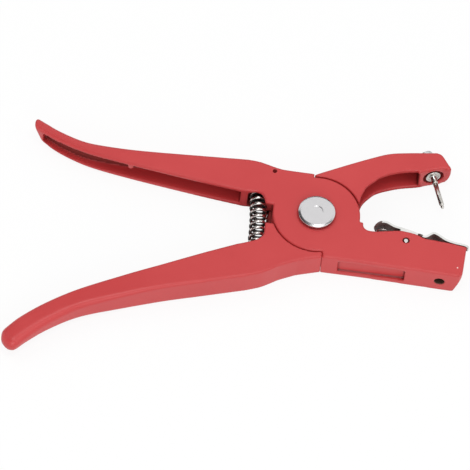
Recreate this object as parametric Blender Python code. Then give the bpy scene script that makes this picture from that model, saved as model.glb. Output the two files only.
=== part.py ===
"""Ear tag applicator: cast hand pliers that press a tag's pin through an ear.

Two painted castings cross in a half-lapped hub. The clip casting runs from the
upper handle to the lower jaw, which carries a sprung sheet clip. The pin casting
runs from the lower handle to the upper jaw, which carries the applicator pin.

The tool lies on its back. The pivot axis is +Z through the origin, z = 0 is the
plane of the back faces, and +X runs along the lower jaw towards its tip.
Every size below is in millimetres; meshes are made in metres.
"""

import math

import bmesh
import bpy
from mathutils import Matrix, Vector

MM = 0.001

# The hub leads: the outlines below are drawn for a hub of radius 23.4 and follow its size
HUB_RADIUS = 23.4
PLAN = HUB_RADIUS / 23.4


def sized(points):
    """Plan points at the size that the hub gives them."""
    return [(x * PLAN, y * PLAN) for x, y in points]


# Castings
BODY_THICKNESS = 16.0
LAP_GAP = 0.3
RIM_CHAMFER = 0.7
HANDLE_WALL = 2.4
CHANNEL_FLOOR = 2.6
CHANNEL_REACH = 6.0

# Pivot
PIVOT_SHANK_DIAMETER = 9.0
PIVOT_CLEARANCE = 0.3
PIVOT_HEAD_DIAMETER = 20.2
PIVOT_HEAD_HEIGHT = 2.0
PIVOT_HEAD_BEVEL = 1.7
PIVOT_CENTRE_DIAMETER = 3.0
PIVOT_CENTRE_RISE = 0.3
PIVOT_END_LIP = 1.3
RING_THICKNESS = 1.0
RING_OUTER_DIAMETER = 13.0
RING_GROOVE_DEPTH = 1.0
RING_MOUTH_DEGREES = 70.0
WASHER_THICKNESS = 1.0
WASHER_BAND = 2.5
COUNTERBORE_CLEARANCE = 0.8

# Clip casting, in plan: the upper handle's two edges from the hub outwards
CLIP_HANDLE_OUTER = sized([(-40.0, 29.5), (-60.0, 28.6), (-97.6, 27.3), (-119.0, 28.0),
                           (-130.0, 29.9), (-141.0, 34.1), (-147.0, 37.4), (-152.2, 40.0)])
CLIP_HANDLE_INNER = sized([(-40.0, 10.2), (-62.8, 12.2), (-95.5, 16.5), (-117.3, 20.0),
                           (-128.4, 22.5), (-139.5, 26.4), (-147.0, 30.0), (-153.4, 34.2)])
CLIP_HANDLE_TIP_THICKNESS = 12.0
CLIP_HANDLE_TAPER = (0.55, 2.0)
CLIP_HANDLE_NOSE = 2.6
CLIP_HANDLE_TIP_LEAN = 0.4
CLIP_HANDLE_EDGE_RADII = (1.0, 2.7)
CLIP_CHANNEL_SPAN = (0.012, 0.975)
EJECTOR_PAD = sized([(-101.5, 19.2)])[0]
EJECTOR_PAD_DIAMETER = 3.6
EJECTOR_PAD_RISE = 2.8
DRILL_MARK = sized([(-24.8, 23.9)])[0]
DRILL_MARK_DIAMETER = 2.0
DRILL_MARK_DEPTH = 0.9

# Pin casting, in plan: the lower handle's two edges from the hub outwards
PIN_HANDLE_OUTER = sized([(-33.5, -44.2), (-56.3, -51.4), (-77.1, -58.1), (-97.8, -66.2),
                          (-118.5, -75.3), (-133.6, -86.0), (-143.4, -95.3), (-148.8, -101.4)])
PIN_HANDLE_INNER = sized([(-41.0, -25.0), (-59.1, -33.6), (-79.6, -43.8), (-100.0, -53.7),
                          (-118.0, -62.6), (-129.4, -69.2), (-140.4, -76.8), (-150.2, -85.0),
                          (-156.7, -92.2)])
PIN_HANDLE_TIP_THICKNESS = 9.8
PIN_HANDLE_TAPER = (0.4, 1.1)
PIN_HANDLE_NOSE = 5.3
PIN_HANDLE_EDGE_RADII = (1.0, 4.6)
PIN_CHANNEL_SPAN = (0.03, 0.9)

# Lower jaw
JAW_BASE = sized([(5.5, -26.6), (29.0, -26.8), (56.0, -27.5), (77.8, -28.1)])
JAW_END_ROUND = sized([(79.2, -27.7), (80.2, -26.7), (80.8, -25.2)])
JAW_END_X = 81.6 * PLAN
JAW_END_BACK_TAPER = 4.4
JAW_END_CORNER = 2.2
LEDGE = sized([(25.4, -1.5)])[0]
LEDGE_ROUND = sized([(25.5, -3.6), (26.3, -5.0), (27.7, -6.0), (29.6, -6.4)])
JAW_TOP = sized([(32.6, -6.3), (39.9, -4.9), (45.4, -4.1), (50.5, -4.5), (54.5, -5.3),
                 (58.5, -7.2), (73.6, -8.7)])
JAW_TIP_TOP_Y = -9.7 * PLAN
JAW_RECESS_X = (14.4 * PLAN, 50.4 * PLAN)
JAW_RECESS_FLOOR_Y = -25.1 * PLAN
JAW_RECESS_WIDTH = 10.0
ANVIL_HOLE_DIAMETER = 5.4

# Upper jaw
UPPER_JAW_TOP = sized([(-2.4, 25.2), (-0.8, 26.3), (4.3, 29.0), (14.4, 34.3), (24.6, 39.4),
                       (34.9, 44.0), (45.5, 46.2), (56.1, 47.7)])
UPPER_JAW_NOSE = sized([(60.4, 48.4), (62.9, 47.6), (64.6, 45.8), (66.7, 42.7), (68.6, 40.1),
                        (69.0, 38.9), (67.8, 38.3), (64.8, 38.9)])
NOSE_ROUND = (7.0, 14.0)
UPPER_JAW_LOWER = sized([(60.0, 37.4), (56.0, 36.0), (52.0, 34.4), (41.5, 31.7), (31.2, 27.2),
                         (26.8, 23.0), (24.0, 19.0), (22.6, 14.6)])
UPPER_JAW_ROOT_DEGREES = 20.4
NOTCH_DEGREES = 96.0
JAW_WALL = 2.6
JAW_POCKET_END_X = 52.0 * PLAN

# Applicator pin, fixed in the upper jaw
PIN_SEAT = sized([(59.6, 37.4)])[0]
PIN_LEAN_DEGREES = 20.8
PIN_LENGTH = 20.6
PIN_DIAMETER = 2.6
PIN_COLLAR_DIAMETER = 3.2
PIN_COLLAR_LENGTH = 4.0
PIN_POINT_LENGTH = 2.6
PIN_FLANGE_DIAMETER = 8.4
PIN_FLANGE_THICKNESS = 1.6
PIN_STUD_DIAMETER = 3.4
PIN_BORE_CLEARANCE = 0.3
PIN_COUNTERBORE_DIAMETER = 11.2
PIN_STUD_REACH = 2.6
NUT_DIAMETER = 6.4
NUT_HEIGHT = 3.6
NUT_WASHER_DIAMETER = 8.0
NUT_WASHER_THICKNESS = 0.8
SPOT_FACE_DEPTH = 0.6
SPOT_FACE_MARGIN = 0.5

# Return spring between the handles
SPRING_DIAMETER = 9.2
SPRING_WIRE = 1.8
SPRING_TURNS = 12.0
SPRING_UPPER_END = sized([(-32.6, 16.4)])[0]
SPRING_LOWER_END = sized([(-30.0, -27.6)])[0]
SPRING_BOW = 0.8
SPRING_POCKET_WIDTH = 10.4
SPRING_POCKET_DEPTH_WISE = 12.0
SPRING_POCKET_CORNER = 2.5

# Tag clip on the lower jaw, its hinge pin and its spring
CLIP_HINGE = sized([(49.0, -9.7)])[0]
CLIP_SHEET = 1.2
CLIP_TOP = sized([(31.3, 0.9), (33.7, 2.0), (36.2, 2.3), (38.8, 1.9), (42.2, 0.2), (46.4, -0.7),
                  (51.4, -1.9), (55.2, -3.2), (58.6, -5.2), (60.6, -4.0), (62.6, -2.4), (64.6, -2.4),
                  (67.2, -3.7), (70.2, -5.5), (74.3, -6.7), (80.0, -7.5), (83.0, -8.3)])
CLIP_REAR_WIDTH = 11.6
CLIP_FRONT_WIDTH = 15.2
CLIP_SHOULDER_X = 57.0 * PLAN
CLIP_FORK_WIDTH = 7.2
CLIP_FORK_ROOT_X = 65.6 * PLAN
CLIP_BACK_PRONG_X = 80.6 * PLAN
CLIP_EAR_RADIUS = 2.9
CLIP_EAR_SPREAD = (-3.6, 5.2)
CLIP_PIN_DIAMETER = 2.4
CLIP_PIN_RECESS = 0.6
CLIP_PIN_HOLE = 3.2
CLIP_SIDE_CLEARANCE = 0.3
CLIP_SLOT_X = (42.4 * PLAN, 56.4 * PLAN)
CLIP_SLOT_FLOOR_Y = -14.2 * PLAN
CLIP_SPRING_X = 36.2 * PLAN
CLIP_SPRING_DIAMETER = 7.0
CLIP_SPRING_WIRE = 0.9
CLIP_SPRING_TURNS = 5.0
CLIP_SPRING_POCKET_CLEARANCE = 0.5
CLIP_SPRING_FLOOR_Y = -13.4 * PLAN

LEAN_POWER = 8
SEAT_GAP = 0.3
THROUGH = 4.0
MID_Z = BODY_THICKNESS / 2
FULL_TURN = 2 * math.pi


def clear_scene():
    """Remove what the file holds before the model is made."""
    for item in list(bpy.data.objects):
        bpy.data.objects.remove(item, do_unlink=True)


def make_material(name, colour, roughness, metallic):
    """A Principled BSDF material with the finish of one part."""
    material = bpy.data.materials.new(name)
    material.use_nodes = True
    shader = material.node_tree.nodes["Principled BSDF"]
    shader.inputs["Base Color"].default_value = (*colour, 1.0)
    shader.inputs["Roughness"].default_value = roughness
    shader.inputs["Metallic"].default_value = metallic
    return material


def arc(radius, start_degrees, end_degrees, steps, centre=(0.0, 0.0)):
    """Points on an arc about a centre, both ends included."""
    points = []
    for index in range(steps + 1):
        angle = math.radians(start_degrees + (end_degrees - start_degrees) * index / steps)
        points.append((centre[0] + radius * math.cos(angle), centre[1] + radius * math.sin(angle)))
    return points


def smooth_curve(points, count):
    """A Catmull-Rom curve through the points, read at even distances along it."""
    knots = [Vector(p) for p in points]
    knots = [2 * knots[0] - knots[1], *knots, 2 * knots[-1] - knots[-2]]
    dense = []
    for a, b, c, d in zip(knots, knots[1:], knots[2:], knots[3:]):
        for step in range(16):
            t = step / 16
            dense.append(0.5 * (2 * b + (c - a) * t + (2 * a - 5 * b + 4 * c - d) * t ** 2
                                + (3 * b - a - 3 * c + d) * t ** 3))
    dense.append(knots[-2])
    travelled = [0.0]
    for before, after in zip(dense, dense[1:]):
        travelled.append(travelled[-1] + (after - before).length)
    result = []
    place = 0
    for index in range(count):
        target = travelled[-1] * index / (count - 1)
        while place < len(dense) - 2 and travelled[place + 1] < target:
            place += 1
        share = (target - travelled[place]) / (travelled[place + 1] - travelled[place])
        result.append(dense[place].lerp(dense[place + 1], share))
    return result


def finish_mesh(bm, name, origin=(0.0, 0.0, 0.0)):
    """Turn a millimetre bmesh into a metre mesh whose own origin is at a place."""
    bmesh.ops.recalc_face_normals(bm, faces=bm.faces)
    bmesh.ops.transform(bm, matrix=Matrix.Scale(MM, 4) @ Matrix.Translation(-Vector(origin)),
                        verts=bm.verts)
    mesh = bpy.data.meshes.new(name)
    bm.to_mesh(mesh)
    bm.free()
    mesh.shade_smooth()
    mesh.set_sharp_from_angle(angle=math.radians(35))
    return mesh


def add_part(name, bm, material, pivot=None):
    """Link one part; a part that moves hangs from the empty on its joint's axis."""
    origin = Vector(pivot.location) / MM if pivot else Vector((0.0, 0.0, 0.0))
    part = bpy.data.objects.new(name, finish_mesh(bm, name, origin))
    bpy.context.scene.collection.objects.link(part)
    part.data.materials.append(material)
    part.parent = pivot
    return part


def add_tool(name, bm):
    """A hidden solid that a Boolean modifier uses."""
    tool = bpy.data.objects.new(name, finish_mesh(bm, name))
    bpy.context.scene.collection.objects.link(tool)
    tool.hide_render = True
    tool.display_type = "WIRE"
    return tool


def combine(part, tool_name, bm, operation="DIFFERENCE"):
    """Cut a shape from a part, or join it on, with a Boolean modifier."""
    modifier = part.modifiers.new(tool_name, "BOOLEAN")
    modifier.operation = operation
    modifier.solver = "EXACT"
    modifier.object = add_tool(f"{part.name}_{tool_name}", bm)


def add_pivot(name, place):
    """An empty on a joint's axis."""
    empty = bpy.data.objects.new(name, None)
    empty.location = Vector(place) * MM
    bpy.context.scene.collection.objects.link(empty)
    return empty


def prism(outline, low, high, rim=0.0):
    """A plan outline extruded from one height to another, its rims chamfered."""
    bm = bmesh.new()
    base = bm.faces.new([bm.verts.new((x, y, low)) for x, y in outline])
    grown = bmesh.ops.extrude_face_region(bm, geom=[base])["geom"]
    risen = [item for item in grown if isinstance(item, bmesh.types.BMVert)]
    bmesh.ops.translate(bm, verts=risen, vec=(0, 0, high - low))
    bmesh.ops.recalc_face_normals(bm, faces=bm.faces)
    if rim > 0:
        rims = [edge for edge in bm.edges if abs(edge.verts[0].co.z - edge.verts[1].co.z) < 1e-6]
        bmesh.ops.bevel(bm, geom=rims, offset=rim, segments=1, profile=0.5,
                        affect="EDGES", material=-1)
    return bm


def side_prism(outline, low_y, high_y):
    """An outline drawn in X and Z, extruded along Y."""
    bm = prism(outline, low_y, high_y)
    bmesh.ops.rotate(bm, verts=bm.verts, cent=(0, 0, 0), matrix=Matrix.Rotation(math.pi / 2, 3, "X"))
    bmesh.ops.scale(bm, verts=bm.verts, vec=(1, -1, 1))
    return bm


def turned(profile, steps):
    """A profile of (radius, height) points spun about +Z, closed on the axis."""
    bm = bmesh.new()
    verts = [bm.verts.new((radius, 0, height)) for radius, height in profile]
    edges = [bm.edges.new(pair) for pair in zip(verts, verts[1:])]
    if profile[0][0] > 0:
        edges.append(bm.edges.new((verts[-1], verts[0])))
    bmesh.ops.spin(bm, geom=verts + edges, cent=(0, 0, 0), axis=(0, 0, 1), angle=FULL_TURN,
                   steps=steps, use_merge=True)
    bmesh.ops.remove_doubles(bm, verts=bm.verts, dist=1e-4)
    return bm


def rod(diameter, low, high, steps=24):
    """A plain cylinder on +Z between two heights."""
    return turned([(0, low), (diameter / 2, low), (diameter / 2, high), (0, high)], steps)


def placed(bm, place, axis):
    """Move a shape made on +Z so that it stands at a place along an axis."""
    turn = Vector((0, 0, 1)).rotation_difference(Vector(axis)).to_matrix().to_4x4()
    bmesh.ops.transform(bm, matrix=Matrix.Translation(place) @ turn, verts=bm.verts)
    return bm


def loft(rings):
    """A skin over a row of rings with flat ends."""
    bm = bmesh.new()
    loops = []
    for ring in rings:
        verts = [bm.verts.new(point) for point in ring]
        loops.append([bm.edges.new((verts[i - 1], verts[i])) for i in range(len(verts))])
    for first, second in zip(loops, loops[1:]):
        bmesh.ops.bridge_loops(bm, edges=first + second)
    for end in (loops[0], loops[-1]):
        bmesh.ops.edgeloop_fill(bm, edges=end)
    return bm


def section(inner, outer, thickness, inner_radius, outer_radius, steps=3):
    """One handle section: a rounded rectangle from the inner edge to the outer edge."""
    inward = (Vector(inner) - Vector(outer)).normalized()
    depth = (Vector(inner) - Vector(outer)).length
    half = thickness / 2
    corners = [(depth, half, inner_radius, 0), (0.0, half, outer_radius, 90),
               (0.0, -half, outer_radius, 180), (depth, -half, inner_radius, 270)]
    ring = []
    for along, height, radius, start in corners:
        radius = min(radius, half - 0.05, depth / 2 - 0.05)
        middle = (along - math.copysign(radius, along - 0.01), height - math.copysign(radius, height))
        for x, y in arc(radius, start, start + 90, steps, middle):
            place = Vector(outer) + inward * x
            ring.append((place.x, place.y, MID_Z + y))
    return ring


def handle_thickness(share, taper, tip_thickness):
    """Thickness of a handle at a share of its length; the taper is its start and its power."""
    start, power = taper
    along = max(0.0, (share - start) / (1 - start))
    return BODY_THICKNESS - (BODY_THICKNESS - tip_thickness) * along ** power


def handle(inner_points, outer_points, tip_thickness, taper, nose, radii, lean=0.0, stations=17):
    """A tapering handle, bedded in the hub at one end and round at the other, which can lean."""
    inner = smooth_curve(inner_points, stations)
    outer = smooth_curve(outer_points, stations)
    rings = []
    bed = (Vector(inner[0]) - Vector(inner[1])).normalized() * 3
    middle = (inner[0] + outer[0]) / 2
    rings.append(section(inner[0].lerp(middle, 0.1) + bed, outer[0].lerp(middle, 0.1) + bed,
                         BODY_THICKNESS, radii[0], radii[0]))
    for index in range(stations):
        share = index / (stations - 1)
        thick = handle_thickness(share, taper, tip_thickness)
        outer_radius = radii[0] + (radii[1] - radii[0]) * share ** 1.5
        inner_radius = radii[0] + (radii[1] - radii[0]) * 0.7 * share ** 3
        rings.append(section(inner[index], outer[index], thick, inner_radius, outer_radius))
    forward = ((inner[-1] - inner[-2]) + (outer[-1] - outer[-2])).normalized()
    middle = (inner[-1] + outer[-1]) / 2
    for reach in (0.45, 0.75, 0.93, 1.0):
        shrink = max(0.18, math.sqrt(1 - reach ** 2))
        move = forward * nose * reach
        rings.append(section(middle + (inner[-1] - middle) * shrink + move,
                             middle + (outer[-1] - middle) * shrink + move,
                             tip_thickness * shrink, radii[1] * 0.8 * shrink, radii[1] * shrink))
    for index, ring in enumerate(rings):
        slope = lean * min(1.0, index / stations) ** LEAN_POWER
        rings[index] = [(x + forward.x * slope * (z - MID_Z), y + forward.y * slope * (z - MID_Z), z)
                        for x, y, z in ring]
    return loft(rings)


def channel(inner_points, outer_points, tip_thickness, taper, span, stations=12):
    """The cored channel of a handle, open on its inner edge."""
    count = 201
    inner = smooth_curve(inner_points, count)
    outer = smooth_curve(outer_points, count)
    rings = []
    for index in range(stations):
        share = span[0] + (span[1] - span[0]) * index / (stations - 1)
        place = round(share * (count - 1))
        inward = (inner[place] - outer[place]).normalized()
        thick = handle_thickness(share, taper, tip_thickness) - 2 * HANDLE_WALL
        floor = CHANNEL_FLOOR if index < stations - 1 else CHANNEL_FLOOR + 0.6
        rings.append(section(inner[place] + inward * CHANNEL_REACH, outer[place] + inward * floor,
                             max(thick, 1.6), 0.2, 0.9, 1))
    return loft(rings)


def clip_casting_outline():
    """Plan of the clip casting's hub, handle root and lower jaw, without the handle."""
    jaw_root = math.degrees(math.asin(LEDGE[1] / HUB_RADIUS))
    stop_angle = -math.degrees(math.acos(JAW_BASE[0][0] / HUB_RADIUS))
    outline = [(p.x, p.y) for p in smooth_curve(JAW_BASE, 8)]
    outline += [*JAW_END_ROUND, (JAW_END_X, JAW_TIP_TOP_Y)]
    outline += [(p.x, p.y) for p in smooth_curve(JAW_TOP, 14)][::-1]
    outline += [*LEDGE_ROUND[::-1], LEDGE]
    outline += arc(HUB_RADIUS, jaw_root, NOTCH_DEGREES + 3.0, 26)
    outline += sized([(-3.5, 25.5), (-16.9, 25.6), (-22.3, 26.1), (-27.8, 27.5), (-33.3, 28.9)])
    outline += [CLIP_HANDLE_OUTER[0], *sized([(-44.5, 27.4), (-44.5, 12.0)]), CLIP_HANDLE_INNER[0]]
    outline += sized([(-36.0, 10.3), (-32.5, 10.4), (-30.2, 9.3), (-28.4, 6.2), (-27.6, 3.1)])
    outline += arc(HUB_RADIUS, 172.4, 360 + stop_angle, 22)
    return outline


def pin_casting_outline():
    """Plan of the pin casting's hub, handle root and upper jaw, without the handle."""
    stop_x = JAW_BASE[0][0] - LAP_GAP
    stop_angle = -math.degrees(math.acos(stop_x / HUB_RADIUS))
    outline = [(stop_x, JAW_BASE[0][1])]
    outline += arc(HUB_RADIUS, stop_angle, UPPER_JAW_ROOT_DEGREES, 20)
    outline += [(p.x, p.y) for p in smooth_curve(UPPER_JAW_LOWER, 13)][::-1]
    outline += UPPER_JAW_NOSE[::-1]
    outline += [(p.x, p.y) for p in smooth_curve(UPPER_JAW_TOP, 13)][::-1]
    outline += arc(HUB_RADIUS, NOTCH_DEGREES, 203.0, 22)
    outline += sized([(-26.2, -11.6), (-26.5, -15.9), (-28.2, -18.7), (-31.0, -20.9),
                      (-36.0, -23.1)])
    outline += [PIN_HANDLE_INNER[0], *sized([(-44.6, -28.4), (-38.6, -43.2)]), PIN_HANDLE_OUTER[0]]
    outline += sized([(-25.5, -41.0), (-20.1, -37.7), (-15.5, -34.7), (-7.0, -30.5)])
    return outline


def rounded_rectangle(centre, width, height, radius, steps=3):
    """Corner-rounded rectangle, in plan or in a side view."""
    points = []
    for turn, (sx, sy) in enumerate(((1, 1), (-1, 1), (-1, -1), (1, -1))):
        middle = (centre[0] + sx * (width / 2 - radius), centre[1] + sy * (height / 2 - radius))
        points += arc(radius, 90 * turn, 90 * turn + 90, steps, middle)
    return points


def spring_pocket(end, other_end):
    """The cored pocket that takes one end of the return spring."""
    direction = (Vector(other_end) - Vector(end)).normalized()
    floor = Vector(end) - direction * SEAT_GAP
    outline = rounded_rectangle((0, 0), SPRING_POCKET_WIDTH, SPRING_POCKET_DEPTH_WISE,
                                SPRING_POCKET_CORNER)
    bm = prism(outline, 0, 16)
    across = Vector((-direction.y, direction.x, 0))
    turn = Matrix((across, (0, 0, 1), direction.to_3d())).transposed().to_4x4()
    bmesh.ops.transform(bm, matrix=Matrix.Translation((floor.x, floor.y, MID_Z)) @ turn,
                        verts=bm.verts)
    return bm


def pin_axis():
    """Direction of the applicator pin, from the upper jaw to its point."""
    lean = math.radians(PIN_LEAN_DEGREES)
    return Vector((math.sin(lean), -math.cos(lean), 0))


def anvil_hole_x():
    """Where the pin's line stands above the lower jaw when the tool is shut."""
    axis = pin_axis()
    return PIN_SEAT[1] * axis.x - PIN_SEAT[0] * axis.y


def ring_low():
    """Lower face of the retaining ring."""
    return PIVOT_END_LIP + SEAT_GAP


def washer_low():
    """Lower face of the pivot washer."""
    return ring_low() + RING_THICKNESS + SEAT_GAP


def make_clip_casting(material):
    """Upper handle, front half of the hub and lower jaw, cast in one."""
    part = add_part("clip_jaw_casting",
                    prism(clip_casting_outline(), 0, BODY_THICKNESS, RIM_CHAMFER), material)
    combine(part, "handle", handle(CLIP_HANDLE_INNER, CLIP_HANDLE_OUTER, CLIP_HANDLE_TIP_THICKNESS,
                                   CLIP_HANDLE_TAPER, CLIP_HANDLE_NOSE, CLIP_HANDLE_EDGE_RADII,
                                   CLIP_HANDLE_TIP_LEAN), "UNION")
    combine(part, "lap", rod(2 * (HUB_RADIUS + LAP_GAP), -THROUGH, MID_Z + LAP_GAP / 2, 72))
    combine(part, "channel", channel(CLIP_HANDLE_INNER, CLIP_HANDLE_OUTER,
                                     CLIP_HANDLE_TIP_THICKNESS, CLIP_HANDLE_TAPER,
                                     CLIP_CHANNEL_SPAN))
    front_wall = BODY_THICKNESS - HANDLE_WALL
    pad = rod(EJECTOR_PAD_DIAMETER, front_wall - EJECTOR_PAD_RISE, front_wall + 1.0, 16)
    combine(part, "ejector_pad", placed(pad, (*EJECTOR_PAD, 0), (0, 0, 1)), "UNION")
    mark = rod(DRILL_MARK_DIAMETER, BODY_THICKNESS - DRILL_MARK_DEPTH, BODY_THICKNESS + 1, 16)
    combine(part, "drill_mark", placed(mark, (*DRILL_MARK, 0), (0, 0, 1)))
    combine(part, "spring_pocket", spring_pocket(SPRING_UPPER_END, SPRING_LOWER_END))
    combine(part, "pivot_bore", rod(PIVOT_SHANK_DIAMETER + 2 * PIVOT_CLEARANCE, -THROUGH,
                                    BODY_THICKNESS + THROUGH, 36))
    combine(part, "jaw_end", jaw_end_trim())
    recess = rounded_rectangle((sum(JAW_RECESS_X) / 2, MID_Z), JAW_RECESS_X[1] - JAW_RECESS_X[0],
                               JAW_RECESS_WIDTH, 0.8, 2)
    combine(part, "recess", side_prism(recess, JAW_BASE[-1][1] - 1, JAW_RECESS_FLOOR_Y))
    anvil = placed(rod(ANVIL_HOLE_DIAMETER, JAW_BASE[-1][1] - 1, 0, 24),
                   (anvil_hole_x(), 0, MID_Z), (0, 1, 0))
    combine(part, "anvil_hole", anvil)
    slot_width = CLIP_REAR_WIDTH + 2 * CLIP_SIDE_CLEARANCE
    slot = rounded_rectangle(((CLIP_SLOT_X[0] + CLIP_SLOT_X[1]) / 2, CLIP_SLOT_FLOOR_Y + 10),
                             CLIP_SLOT_X[1] - CLIP_SLOT_X[0], 20, 2.5)
    combine(part, "clip_slot", prism(slot, MID_Z - slot_width / 2, MID_Z + slot_width / 2))
    combine(part, "clip_pin_hole", placed(rod(CLIP_PIN_HOLE, -1, BODY_THICKNESS + 1, 20),
                                          (*CLIP_HINGE, 0), (0, 0, 1)))
    pocket = rod(CLIP_SPRING_DIAMETER + 2 * CLIP_SPRING_POCKET_CLEARANCE,
                 CLIP_SPRING_FLOOR_Y - SEAT_GAP, 0, 24)
    combine(part, "clip_spring_pocket", placed(pocket, (CLIP_SPRING_X, 0, MID_Z), (0, 1, 0)))
    return part


def jaw_end_trim():
    """What the slanting, round-cornered end of the lower jaw lacks, seen from above it."""
    back_x = JAW_END_X - JAW_END_BACK_TAPER
    lean = JAW_END_BACK_TAPER / BODY_THICKNESS
    corner = arc(JAW_END_CORNER, 0, -90, 4, (back_x - JAW_END_CORNER + lean, JAW_END_CORNER))
    outline = [(JAW_END_X + 0.6, BODY_THICKNESS + 1), *corner, (corner[-1][0], -1.0),
               (JAW_END_X + 4, -1.0), (JAW_END_X + 4, BODY_THICKNESS + 1)]
    return side_prism(outline, JAW_BASE[-1][1] - 1, 0)


def make_pin_casting(material, pivot):
    """Lower handle, back half of the hub and upper jaw, cast in one."""
    part = add_part("pin_jaw_casting",
                    prism(pin_casting_outline(), 0, BODY_THICKNESS, RIM_CHAMFER), material, pivot)
    combine(part, "handle", handle(PIN_HANDLE_INNER, PIN_HANDLE_OUTER, PIN_HANDLE_TIP_THICKNESS,
                                   PIN_HANDLE_TAPER, PIN_HANDLE_NOSE,
                                   PIN_HANDLE_EDGE_RADII), "UNION")
    combine(part, "lap", rod(2 * (HUB_RADIUS + LAP_GAP), MID_Z - LAP_GAP / 2,
                             BODY_THICKNESS + THROUGH, 72))
    combine(part, "channel", channel(PIN_HANDLE_INNER, PIN_HANDLE_OUTER, PIN_HANDLE_TIP_THICKNESS,
                                     PIN_HANDLE_TAPER, PIN_CHANNEL_SPAN))
    combine(part, "spring_pocket", spring_pocket(SPRING_LOWER_END, SPRING_UPPER_END))
    combine(part, "nose", nose_trim())
    combine(part, "jaw_pocket", jaw_pocket())
    combine(part, "pivot_bore", pivot_bore())
    combine(part, "pin_bore", placed(pin_bore(), (*PIN_SEAT, MID_Z), -pin_axis()))
    return part


def nose_trim():
    """What the upper jaw's nose lacks where its back corner is rounded off."""
    tip = max(x for x, y in UPPER_JAW_NOSE) + 0.2
    reach, rise = NOSE_ROUND
    outline = []
    for x, z in arc(1.0, 0, -84, 8):
        outline.append((tip - reach + reach * x, rise + rise * z))
    outline += [(outline[-1][0], -1.0), (tip + THROUGH, -1.0), (tip + THROUGH, rise)]
    return side_prism(outline, PIN_SEAT[1] - THROUGH * 2, PIN_SEAT[1] + BODY_THICKNESS)


def washer_radii():
    """Inner and outer radius of the pivot washer."""
    inner = PIVOT_SHANK_DIAMETER / 2 + PIVOT_CLEARANCE
    return inner, inner + WASHER_BAND


def pivot_bore():
    """Bore for the pivot pin with the counterbore that hides its washer and ring."""
    shank = PIVOT_SHANK_DIAMETER / 2 + PIVOT_CLEARANCE
    wide = washer_radii()[1] + COUNTERBORE_CLEARANCE
    floor = washer_low() + WASHER_THICKNESS + SEAT_GAP
    top = BODY_THICKNESS + THROUGH
    return turned([(0, -THROUGH), (wide, -THROUGH), (wide, floor), (shank, floor), (shank, top),
                   (0, top)], 36)


def pin_bore():
    """Bore for the applicator pin: flange pocket below, spot face for the washer above."""
    pocket = PIN_COUNTERBORE_DIAMETER / 2
    stud = PIN_STUD_DIAMETER / 2 + PIN_BORE_CLEARANCE
    spot = NUT_WASHER_DIAMETER / 2 + SPOT_FACE_MARGIN
    depth = PIN_FLANGE_THICKNESS + SEAT_GAP
    top = jaw_height()
    return turned([(0, -THROUGH), (pocket, -THROUGH), (pocket, depth), (stud, depth), (stud, top),
                   (spot, top), (spot, top + THROUGH), (0, top + THROUGH)], 24)


def jaw_height():
    """Distance along the pin's line from its seat to the spot face on the upper jaw."""
    across = UPPER_JAW_TOP[-1][1] - PIN_SEAT[1]
    return across / math.cos(math.radians(PIN_LEAN_DEGREES)) - SPOT_FACE_DEPTH


def jaw_pocket():
    """The cored pocket in the underside of the upper jaw, between two side walls."""
    wall_radius = HUB_RADIUS + JAW_WALL
    outline = arc(wall_radius, 26.0, 54.0, 5)
    roof = [(p.x, p.y) for p in smooth_curve(UPPER_JAW_TOP, 25)]
    for x, y in roof:
        if 18.5 * PLAN < x < JAW_POCKET_END_X - 1.0:
            outline.append((x + 0.35 * JAW_WALL, y - JAW_WALL - 0.4))
    outline += [(JAW_POCKET_END_X, 41.6 * PLAN), (JAW_POCKET_END_X, 29.0 * PLAN)]
    outline += sized([(37.0, 24.0), (30.0, 17.0)])
    return prism(outline, HANDLE_WALL, BODY_THICKNESS - HANDLE_WALL)


def make_pivot_pin(material):
    """Headed pivot pin: flat face with a bevelled rim, shank and ring groove."""
    shank = PIVOT_SHANK_DIAMETER / 2
    head = PIVOT_HEAD_DIAMETER / 2
    seat = BODY_THICKNESS + SEAT_GAP
    face = seat + PIVOT_HEAD_HEIGHT
    groove = shank - RING_GROOVE_DEPTH
    centre = PIVOT_CENTRE_DIAMETER / 2
    profile = [(0, 0), (shank, 0), (shank, PIVOT_END_LIP), (groove, PIVOT_END_LIP),
               (groove, washer_low()), (shank, washer_low()), (shank, seat), (head, seat),
               (head, seat + 0.5), (head - 0.5 * PIVOT_HEAD_BEVEL, face - 0.4),
               (head - PIVOT_HEAD_BEVEL, face), (centre, face),
               (0.5 * centre, face + 0.8 * PIVOT_CENTRE_RISE), (0, face + PIVOT_CENTRE_RISE)]
    add_part("pivot_pin", turned(profile, 48), material)


def make_pivot_washer(material):
    """Plain washer between the pin casting and the retaining ring."""
    inner, outer = washer_radii()
    low = washer_low()
    high = low + WASHER_THICKNESS
    profile = [(inner, low), (outer, low), (outer, high), (inner, high)]
    add_part("pivot_washer", turned(profile, 36), material)


def make_retaining_ring(material):
    """Open retaining ring in the pivot pin's groove."""
    inner = PIVOT_SHANK_DIAMETER / 2 - RING_GROOVE_DEPTH + SEAT_GAP
    outer = RING_OUTER_DIAMETER / 2
    half = RING_MOUTH_DEGREES / 2
    outline = arc(outer, 270 + half, 630 - half, 30) + arc(inner, 630 - half, 270 + half, 24)
    add_part("pivot_retaining_ring", prism(outline, ring_low(), ring_low() + RING_THICKNESS),
             material)


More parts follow.
